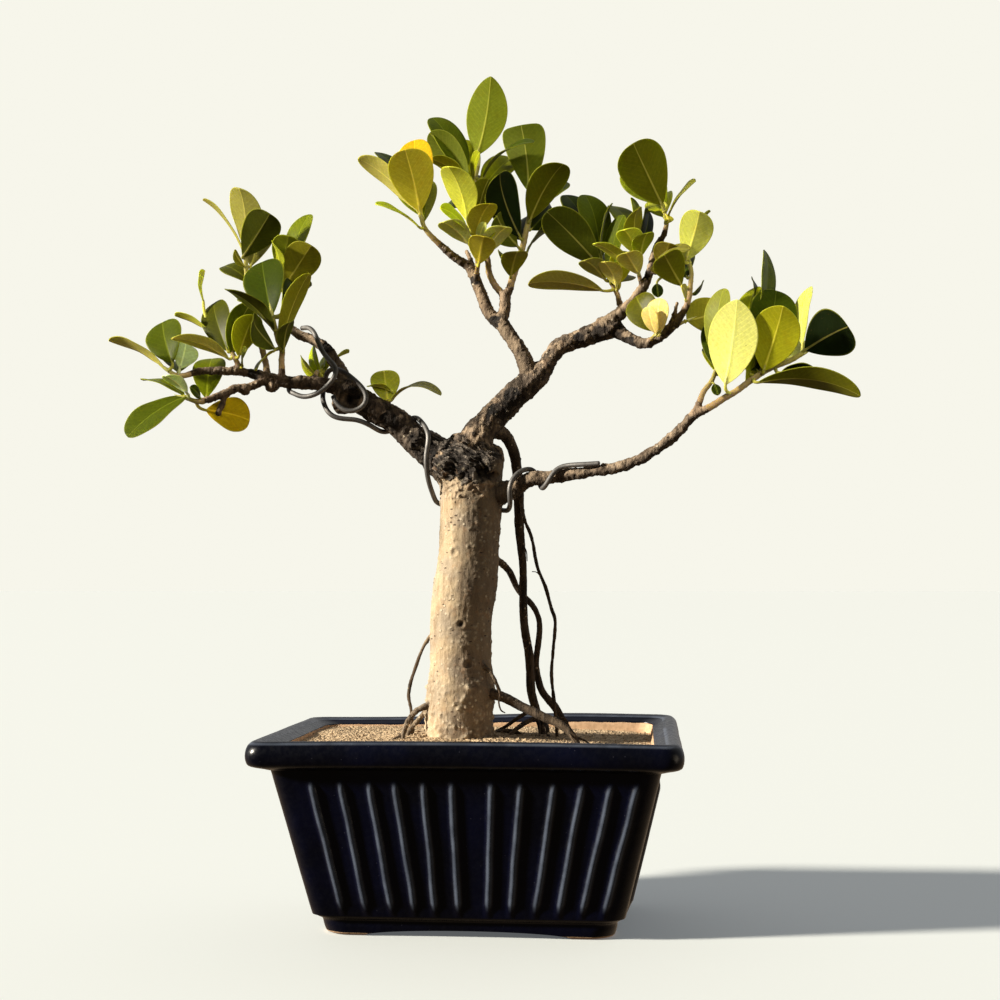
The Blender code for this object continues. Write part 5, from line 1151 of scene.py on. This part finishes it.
def nearest_routes(points, routes):
    """For each point: the index of the route whose skin is nearest, and how far along it that is."""
    best = np.full(len(points), 1e9)
    which = np.zeros(len(points), int)
    run = np.zeros(len(points))
    for index, (_, route) in enumerate(routes):
        total = 0.0
        for a, b in zip(route[:-1:2], route[2::2]):
            axis = b[:3] - a[:3]
            length = np.linalg.norm(axis)
            if length < 1e-6:
                continue
            middle, reach = (a[:3] + b[:3]) / 2, length / 2 + max(a[3], b[3]) + 6
            near = np.flatnonzero((np.abs(points - middle) < reach).all(axis=1))
            if len(near):
                share = np.clip((points[near] - a[:3]) @ axis / length ** 2, 0, 1)
                away = np.linalg.norm(points[near] - a[:3] - share[:, None] * axis, axis=1)
                away -= a[3] + (b[3] - a[3]) * share
                better = away < best[near]
                chosen = near[better]
                best[chosen] = away[better]
                which[chosen] = index
                run[chosen] = total + share[better] * length
            total += length
    return which, run


def tree_skin(routes):
    """Trunk, branches and roots as one skin, with the stumps levelled under the scar."""
    out = Build()
    for _, route in routes:
        thick = route[:, 3].max()
        out.add(*tube_shell(route, 40 if thick > 9 else 20 if thick > 3 else 12)[:2])
    for x, y, z, radius in KNOTS:
        points, faces = ball(3, radius * 0.97)
        out.add(points + (x, y, z), faces)
    tree = out.make("fig_tree")
    modify(tree, "REMESH", mode="VOXEL", voxel_size=VOXEL * MM)
    modify(tree, "SMOOTH", factor=0.5, iterations=4)
    settle(tree)
    worn = tree.vertex_groups.new(name="worn")
    for vertex in tree.data.vertices:
        x, y, z = vertex.co / MM
        if SCAR_LOW < z < SCAR_HIGH + 4 and abs(x + 8) < 26:
            share = smooth_step(SCAR_LOW, SCAR_LOW + 4, z)
            share *= smooth_step(SCAR_HIGH + 4, SCAR_HIGH - 4, z)
            worn.add([vertex.index], float(share), "REPLACE")
    modify(tree, "SMOOTH", factor=0.5, iterations=SCAR_ROUNDS, vertex_group="worn")
    settle(tree)
    tree.vertex_groups.clear()
    return tree


def read_vectors(source, field):
    values = np.empty(len(source) * 3, np.float32)
    source.foreach_get(field, values)
    return values.reshape(-1, 3).astype(float)


def scar_share(x, z, ragged, edge):
    """How much each point belongs to the torn scar at the trunk's top."""
    scar = smooth_step(SCAR_LOW, SCAR_LOW + 1.6, edge - 0.16 * np.abs(x + 5))
    scar *= smooth_step(SCAR_HIGH + 3, SCAR_HIGH - 3, edge + 0.30 * (x + 8))
    scar *= smooth_step(30, 20, np.abs(x + 8 + 6 * ragged))
    return scar * smooth_step(10, 6, x + 4 * ragged - 0.15 * (z - 226))


def torn_fibres(points, scar, ragged):
    """Strands that run down to the right across the scar: 1 on a strand and less beside it."""
    fibre = np.zeros(len(points))
    for i in np.flatnonzero(scar > 0.01):
        x, y, z = points[i]
        across, along = 0.5 * x + 0.86 * z + 2.2 * ragged[i], 0.86 * x - 0.5 * z
        strand = abs(noise.noise((across * 0.48, y * 0.25, along * 0.07)))
        strand += 0.5 * abs(noise.noise((across, y * 0.5 + 9, along * 0.12)))
        fibre[i] = 1 - 2.0 * strand
    return fibre


def nearness(points):
    found = kdtree.KDTree(len(points))
    for i, p in enumerate(points):
        found.insert(p, i)
    found.balance()
    return found


def press_pits(near, lift):
    """Sinks the pits and raises their rims. Gives how deep in a pit each point is, which the bark darkens
    as painted shade.
    """
    pit = np.zeros(len(lift))
    for *centre, radius, depth in PITS:
        for _, i, away in near.find_range(centre, radius * 2.6):
            t = away / radius
            lift[i] -= depth * math.exp(-(t / 0.75) ** 2)
            lift[i] += 0.28 * depth * math.exp(-((t - 1.35) / 0.4) ** 2)
            pit[i] = max(pit[i], 0.95 * math.exp(-(t / 0.72) ** 4))
    return pit


def patch_shares(near, unevenness):
    """How much of each kind of patch each point has."""
    found = {}
    for kind, rows in PATCHES.items():
        found[kind] = np.zeros(len(unevenness))
        for *centre, radius in rows:
            for _, i, away in near.find_range(centre, radius * 1.5):
                share = smooth_step(1.25, 0.85, away / radius + unevenness[i])
                found[kind][i] = max(found[kind][i], share)
    return found


def raise_dots(near, points, lift, skin, rng):
    """Pale dots all over the trunk, then nodules near its foot."""
    bump = np.zeros(len(lift))
    for nodules, total in ((False, DOTS), (True, NODULES)):
        for start in rng.choice(skin, total):
            if nodules and rng.random() > smooth_step(136, 96, points[start, 2]):
                continue
            radius = rng.uniform(0.8, 1.5) if nodules else rng.uniform(0.55, 0.95)
            rise = 0.62 * radius if nodules else 0.30 * radius / 0.8
            pale = 0.35 + 0.65 * rng.random()
            for _, i, away in near.find_range(points[start], radius * 2):
                share = math.exp(-(away / radius) ** 2 * 1.4)
                lift[i] += rise * share
                bump[i] = max(bump[i], share * pale)
    return bump


def raise_lumps(near, points, lift, pit, rough, rng):
    """Lumps on the old bark, and hollows that the bark darkens as painted shade."""
    for start in rng.choice(rough, LUMPS):
        radius = rng.uniform(0.6, 1.4)
        rise = rng.uniform(-0.45, 0.5)
        for _, i, away in near.find_range(points[start], radius * 2):
            share = math.exp(-(away / radius) ** 2)
            lift[i] += rise * share
            pit[i] = max(pit[i], -rise * share)


def make_tree():
    """The skin with bark, scars, pits and nodules raised in it."""
    routes = wood_routes()
    tree = tree_skin(routes)
    mesh = tree.data
    points = read_vectors(mesh.vertices, "co") / MM
    normals = read_vectors(mesh.vertex_normals, "vector")
    x, _, z = points.T
    which, run = nearest_routes(points, routes)
    names = [name for name, _ in routes]
    old = np.array([OLD.get(name, 0.55) for name in names])[which]
    old = np.where(which == names.index("right"), OLD["right"] * smooth_step(8, 26, run), old)
    twig = np.array([TWIG.get(name, 0.0) for name in names])[which]
    root = np.array([ROOT.get(name, float(name.startswith("root_"))) for name in names])[which]
    root = root * smooth_step(10, 24, run)
    trunk = which == names.index("trunk")
    ragged = np.array([fbm(p, 7.0) for p in points])
    fine = np.array([fbm(p, 2.2, 2) for p in points])
    edge = z + 5.5 * ragged + 3.0 * fine
    scar = scar_share(x, z, ragged, edge)
    fibre = torn_fibres(points, scar, ragged)
    # Painted shade: the side of the wood away from the light and the undersides of the branches are marked
    # for darkening
    lee = np.clip(0.5 + 0.75 * normals[:, 0] - 0.25 * normals[:, 1], 0, 1) ** 1.3
    under = smooth_step(0.15, -0.65, normals[:, 2]) * ~trunk
    old = np.where(trunk, smooth_step(222, 232, z + 4 * ragged), old)
    low = smooth_step(132, 98, z) * trunk
    old = np.maximum(old, 0.35 * smooth_step(0.1, 0.5, ragged) * low)
    lift = 0.30 * ragged + 0.16 * fine
    lift += old * (1 - 0.75 * scar) * (0.45 * ragged + 0.35 * fine)
    lift += scar * (1.0 * fibre - 0.6 + 0.10 * fine)
    # A crumbled lip of bark under the scar
    lip = np.exp(-((edge - SCAR_LOW + 1.6) / 1.7) ** 2) * trunk * smooth_step(-30, -6, x)
    lift += lip * (0.7 + 1.2 * fine)
    lift *= np.where((root > 0) | (twig > 0.6), 0.35, 1.0)
    # Growth rings on the twigs and branches
    wave = (run / np.where(twig > 0.6, 3.4, 5.6) + 0.35 * ragged) % 1.0
    ringed = ~(trunk | (root > 0.3))
    lift += (0.20 + 0.14 * twig) * (np.exp(-((wave - 0.5) / 0.07) ** 2) * ringed)
    ring = np.exp(-((wave - 0.64) / 0.05) ** 2) * ringed * smooth_step(-0.25, 0.15, ragged)
    # Level creases on the trunk
    crease = np.array([noise.noise(Vector((a / 20, b / 20, c / 2.2))) for a, b, c in points])
    lift -= np.where(trunk, 0.16, 0.0) * smooth_step(0.25, 0.6, crease)
    near = nearness(points)
    pit = press_pits(near, lift)
    marks = patch_shares(near, 1.1 * ragged + 0.5 * fine)
    marks["fair"] = np.maximum(marks["fair"], 0.8 * lip)
    marks["fair"] *= 1 - 0.9 * smooth_step(0.12, 0.30, np.abs(ragged)) * (z > 226)
    rng = np.random.default_rng(5)
    bump = raise_dots(near, points, lift, np.flatnonzero(trunk & (z > 84) & (z < 226)), rng)
    rough = np.flatnonzero((old > 0.5) & (z > 222) & (scar < 0.3))
    raise_lumps(near, points, lift, pit, rough, rng)
    points += normals * lift[:, None]
    mesh.vertices.foreach_set("co", (points * MM).astype(np.float32).ravel())
    marks.update(old=old, scar=scar, twig=twig, root=root, pit=pit, bump=bump, fibre=fibre, ring=ring,
                 lee=lee, under=under)
    set_values(mesh, "FLOAT", "value", {key: np.clip(data, 0, 1) for key, data in marks.items()})
    mesh.update()
    mesh.shade_smooth()
    return tree


def make_hairs():
    out = Build()
    for route in HAIRS:
        out.add(*tube_shell(smooth_route(route, 0.8), 8)[:2], {"root": 1.0})
    return out.make("root_hairs")


# Leaves

def blade_half_width(u, tip):
    """Share of the half width at u along the blade: wedge base, widest past the middle, round tip."""
    widest = WEDGE / (WEDGE + tip)
    most = widest ** WEDGE * (1 - widest) ** tip
    return np.clip(u, 0, 1) ** WEDGE * np.clip(1 - u, 0, 1) ** tip / most


def leaf_axes(spec):
    along = spec.tip - spec.base
    length = along.length
    along.normalize()
    to_viewer = Vector((0, -1, 0))
    up = to_viewer - along * to_viewer.dot(along)
    up = Matrix.Rotation(math.radians(spec.face), 3, along) @ up.normalized()
    return length, np.array(along), np.array(up), np.array(along.cross(up))


def add_blade(out, spec, rng):
    """A closed, thin shell: folded at its midrib, arched, with a waved edge and a raised rib below."""
    length, along, up, side = leaf_axes(spec)
    width = spec.width or BLADE_WIDTH * length
    u = 0.5 - 0.5 * np.cos(np.linspace(0.045, 0.985, ROWS) * math.pi)
    half = width / 2 * blade_half_width(u, spec.end)
    half = np.maximum(half, np.where(u < 0.5, 0.55, 0.12))
    U, V = np.meshgrid(u, np.array(ACROSS, float), indexing="ij")
    off = half[:, None] * V
    swell = np.sin(math.pi * U)
    soft = np.sqrt(V ** 2 + 0.05) - math.sqrt(0.05)
    phase = rng.uniform(0, 2 * math.pi, 2)
    wave = rng.uniform(0.15, 0.45) * np.minimum(1, width / 18)
    rise = spec.arch * length * 4 * U * (1 - U) + spec.fold * half[:, None] * soft
    rise += wave * V ** 2 * np.sin(2 * math.pi * (1.6 * U + 0.25 * np.sign(V)) + phase[0]) * swell
    rise -= 0.35 * np.abs(V) ** 5 * swell * min(1.0, width / 16)
    rise -= rng.uniform(0.0, 0.035) * length * np.clip((U - 0.72) / 0.28, 0, 1) ** 2
    sway = rng.uniform(-0.018, 0.018) * length * swell
    middle = (np.array(spec.base) + along * (length * U)[..., None] + up * rise[..., None]
              + side * (off + sway)[..., None])
    normal = np.cross(np.gradient(middle, axis=1), np.gradient(middle, axis=0))
    normal /= np.linalg.norm(normal, axis=2)[..., None] + 1e-12
    thick = BLADE_THICK * (0.5 + 0.5 * (1 - np.abs(V) ** 3)) / 2
    rib = 0.42 * np.exp(-(off / 0.55) ** 2) * (1 - 0.8 * U)
    groove = 0.16 * np.exp(-(off / 0.5) ** 2) * (1 - 0.7 * U)
    top = middle + normal * (thick - groove)[..., None]
    low = middle - normal * (thick + rib)[..., None]
    verts = np.concatenate([top.reshape(-1, 3), low.reshape(-1, 3)])
    rows, cols = U.shape
    size = rows * cols
    faces = []
    for i in range(rows - 1):
        for j in range(cols - 1):
            a, b = i * cols + j, i * cols + j + 1
            c, d = b + cols, a + cols
            faces.append((a, b, c, d))
            faces.append((size + d, size + c, size + b, size + a))
    grid = np.arange(size).reshape(rows, cols)
    sides = (grid[0], grid[1:, -1], grid[-1, -2::-1], grid[-2:0:-1, 0])
    border = np.concatenate(sides).tolist()
    for a, b in zip(border, border[1:] + border[:1]):
        faces.append((b, a, size + a, size + b))
    shade = rng.uniform(0.86, 1.14)
    # The tones hold painted sunlight and shade as well as the leaf's own colour
    upper_tone, under_tone = TONES[spec.tone]
    values = {"upper": np.repeat([1.0, 0.0], size), "stalk": 0.0,
              "run": np.tile((length * U).ravel(), 2), "off": np.tile(off.ravel(), 2),
              "edge": np.tile(np.abs(V).ravel(), 2)}
    out.add(verts, faces, values, {"upper_tone": np.array(upper_tone) * shade,
                                   "under_tone": np.array(under_tone) * shade})


def nearest_on(route, point):
    places = []
    for a, b in zip(route, route[1:]):
        a, b = Vector(a), Vector(b)
        places.append(a.lerp(b, share_along(point, a, b)))
    return min(places, key=lambda here: (here - point).length)


def add_bar(out, shell, tone):
    verts, faces, run = shell
    tone = np.asarray(tone, float)
    out.add(verts, faces, {"upper": 0.5, "stalk": 1.0, "run": run, "off": 0.0, "edge": 0.0},
            {"upper_tone": tone, "under_tone": tone})


def add_stalk(out, spec, root):
    """A round stalk that leaves the stem, turns towards the blade and runs into its midrib."""
    length, along, up, _ = leaf_axes(spec)
    base, start = np.array(spec.base), np.array(root)
    reach = np.linalg.norm(base - start)
    into = base + along * (0.10 * length) + up * (spec.arch * length * 0.36 - 0.25)
    bend = base - along * (0.45 * reach)
    points = []
    for t in np.linspace(0, 1, 12):
        points.append((1 - t) ** 3 * start + 3 * (1 - t) ** 2 * t * (0.55 * start + 0.45 * bend)
                      + 3 * (1 - t) * t * t * bend + t ** 3 * base)
    points.extend([base * 0.5 + into * 0.5 - up * 0.1, into])
    radii = np.concatenate([np.linspace(1.0, 0.72, 12), [0.6, 0.35]])
    radii[:3] *= (1.25, 1.12, 1.03)
    tone = 0.55 * np.array(STALK_TONE) + 0.45 * np.array(TONES[spec.tone][1])
    route = np.column_stack([points, radii * min(1.0, length / 24 + 0.3)])
    add_bar(out, tube_shell(route, 10), tone)


def make_shoot(name, shoot, seed):
    rng = np.random.default_rng(seed)
    out = Build()
    seat = Vector(shoot.stem[0])
    ahead = (Vector(shoot.stem[1]) - seat).normalized()
    stem = [tuple(seat - 1.0 * ahead), *shoot.stem[1:]]
    count = len(stem)
    rows = [(*p, shoot.radius * (1 - 0.35 * i / (count - 1))) for i, p in enumerate(stem)]
    route = smooth_route(rows, 0.7)
    run = run_along(route[:, :3])
    route[:, 3] *= 1 + 0.11 * np.exp(-(((run / STEM_RINGS) % 1.0 - 0.5) / 0.12) ** 2)
    shell = tube_shell(route, 14)
    share = np.clip(shell[2] / run[-1], 0, 1)[:, None] ** 1.4
    add_bar(out, shell, np.array(STEM_TONES[0]) * (1 - share) + np.array(STEM_TONES[1]) * share)
    tip = Vector(stem[-1])
    ahead = (tip - Vector(stem[-2])).normalized()
    bud = [(*(tip + ahead * t), radius * (shoot.radius / 1.7)) for t, radius in BUD]
    add_bar(out, tube_shell(smooth_route(bud, 0.8), 10), BUD_TONE)
    for row in shoot.leaves:
        spec = leaf(*row)
        add_stalk(out, spec, nearest_on(stem[1:], spec.base))
        add_blade(out, spec, rng)
    return out.make(name.replace("shoot", "leaves"))


# Wires

def wood_segments():
    found = []
    for route in (TRUNK, *BRANCHES.values(), ROOTS["tall"]):
        for p, q in zip(route, route[1:]):
            found.append((Vector(p[:3]), Vector(q[:3]), p[3], q[3]))
    for x, y, z, radius in KNOTS:
        found.append((Vector((x, y, z)), Vector((x, y, z + 0.01)), radius, radius))
    return found


def pushed_clear(point, segments):
    """Moves a wire's point out of the wood, so that the wire lies on the bark."""
    point = Vector(point)
    for _ in range(WIRE_PUSHES):
        for a, b, radius_a, radius_b in segments:
            share = share_along(point, a, b)
            away = point - a.lerp(b, share)
            radius = radius_a + (radius_b - radius_a) * share
            room = radius * BARK_SWELL + WIRE_RADIUS + WIRE_GAP
            if away.length < room:
                point += away.normalized() * (room - away.length)
    return point


def make_wire(name, route, segments):
    points = np.array([pushed_clear(p, segments) for p in smooth_route(route, 2.0)])
    for _ in range(3):
        points[1:-1] = 0.25 * points[:-2] + 0.5 * points[1:-1] + 0.25 * points[2:]
    points = smooth_route(points, 0.8)
    out = Build()
    out.add(*tube_shell(np.column_stack([points, np.full(len(points), WIRE_RADIUS)]), 18)[:2])
    return out.make(name.replace("wire", "training_wire"))


# Stage

def make_camera():
    lens = bpy.data.cameras.new("camera")
    lens.sensor_width = SENSOR
    lens.lens = FOCAL_PX * SENSOR / PHOTO_WIDTH
    lens.clip_start = 0.01
    camera = linked("camera", lens)
    right = Vector((math.sqrt(1 - TURN ** 2), TURN, 0))
    tilt = math.radians(TILT)
    ahead = Vector((-TURN * math.cos(tilt), right.x * math.cos(tilt), math.sin(tilt)))
    turned = Matrix((right, right.cross(ahead), -ahead)).transposed()
    camera.matrix_world = Matrix.Translation(EYE) @ turned.to_4x4()
    bpy.context.scene.camera = camera


def add_lamp(name, kind, towards, power, colour):
    """A lamp whose light comes from the way it faces."""
    lamp = bpy.data.lights.new(name, kind)
    lamp.energy = power
    lamp.color = colour
    made = linked(name, lamp)
    made.rotation_euler = Vector(towards).to_track_quat("Z", "Y").to_euler()
    return made


def add_disc(name, place, aim, size, power, colour, only):
    """A round lamp that lights one collection."""
    made = add_lamp(name, "AREA", Vector(place) - Vector(aim), power, colour)
    made.location = place
    made.data.shape = "DISK"
    made.data.size = size
    made.light_linking.receiver_collection = only
    return made


def make_room():
    """Dim in front of the plant and bright behind it, with an even backdrop for the camera."""
    world = bpy.data.worlds.new("studio")
    bpy.context.scene.world = world
    world.use_nodes = True
    n = Nodes(world.node_tree)
    way = n.place("Generated")
    depth = n.node("ShaderNodeSeparateXYZ", {0: way}, "Y")
    height = n.node("ShaderNodeSeparateXYZ", {0: way}, "Z")
    above = n.ranged(height, -0.25, 0.15, 0.0, 1.0, "LINEAR")
    light = n.tree.nodes["Background"]
    n.put(light.inputs["Color"], n.mix(above, (0.85, 0.62, 0.40), (0.95, 0.96, 0.97)))
    n.put(light.inputs["Strength"], n.ranged(depth, -0.5, 0.7, ROOM_DIM, ROOM_BRIGHT, "LINEAR"))
    seen = n.node("ShaderNodeBackground", {"Color": BACKDROP})
    by_camera = n.node("ShaderNodeLightPath", {}, "Is Camera Ray")
    mixed = n.node("ShaderNodeMixShader", {0: by_camera, 1: Value(n, light.outputs[0]), 2: seen})
    n.put(n.tree.nodes["World Output"].inputs[0], mixed)


def make_stage(foliage, plant):
    make_room()
    n = Look("pale floor", 0.9, Emission_Color=(0.80, 0.86, 0.90, 1.0), Emission_Strength=0.12)
    corners = [(x * FLOOR_REACH, y * FLOOR_REACH, -0.2) for x, y in ((-1, -1), (1, -1), (1, 1), (-1, 1))]
    floor = add_object("floor", corners, [(0, 1, 2, 3)])
    floor.data.materials.append(n.finish((0.72, 0.755, 0.745)))
    floor.visible_glossy = False
    floor.visible_diffuse = False
    key = add_lamp("key", "SUN", KEY_FROM, KEY_POWER, (1.0, 0.93, 0.80))
    key.data.angle = math.radians(KEY_SOFTNESS)
    add_disc("bounce", (1.3, -0.5, 0.12), (0, 0, 0.2), 0.7, BOUNCE_POWER, (1.0, 0.85, 0.64), plant)
    fill = add_disc("leaf fill", (0.5, -1.3, 0.75), (0, 0, 0.3), 1.2, LEAF_FILL_POWER,
                    (1.0, 0.97, 0.88), foliage)
    fill.visible_glossy = False
    bpy.context.scene.view_settings.view_transform = "Standard"


def dress(item, material, slot, *nodes):
    item.data.materials.clear()
    item.data.materials.append(material)
    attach(item, "root")
    if nodes:
        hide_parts(*nodes)
    return item


def main():
    make_camera()
    foliage, plant = (bpy.data.collections.new(name) for name in ("foliage", "plant"))
    make_stage(foliage, plant)
    leaf_look, bark_look, wire_look = leaf_material(), bark_material(), wire_material()
    pieces = [dress(make_pot(), glaze_material(), "navy_glaze", "pot"),
              dress(make_soil(), soil_material(), "sandy_soil", "soil"),
              dress(make_grains(), grain_material(), "sandy_soil"),
              dress(make_tree(), bark_look, "tan_bark", "tree"),
              dress(make_hairs(), bark_look, "tan_bark")]
    for seed, (name, shoot) in enumerate(SHOOTS.items()):
        sprig = make_shoot(name, shoot, seed + 3)
        foliage.objects.link(sprig)
        pieces.append(dress(sprig, leaf_look, "leaf_green", name))
    segments = wood_segments()
    for name, route in WIRES.items():
        pieces.append(dress(make_wire(name, route, segments), wire_look, "aluminium_wire", name))
    for item in pieces:
        plant.objects.link(item)
    screen_look = mesh_material()
    for name in ("drain_screen_left", "drain_screen_right"):
        for slot in frame["nodes"][name].material_slots:
            slot.material = screen_look


main()
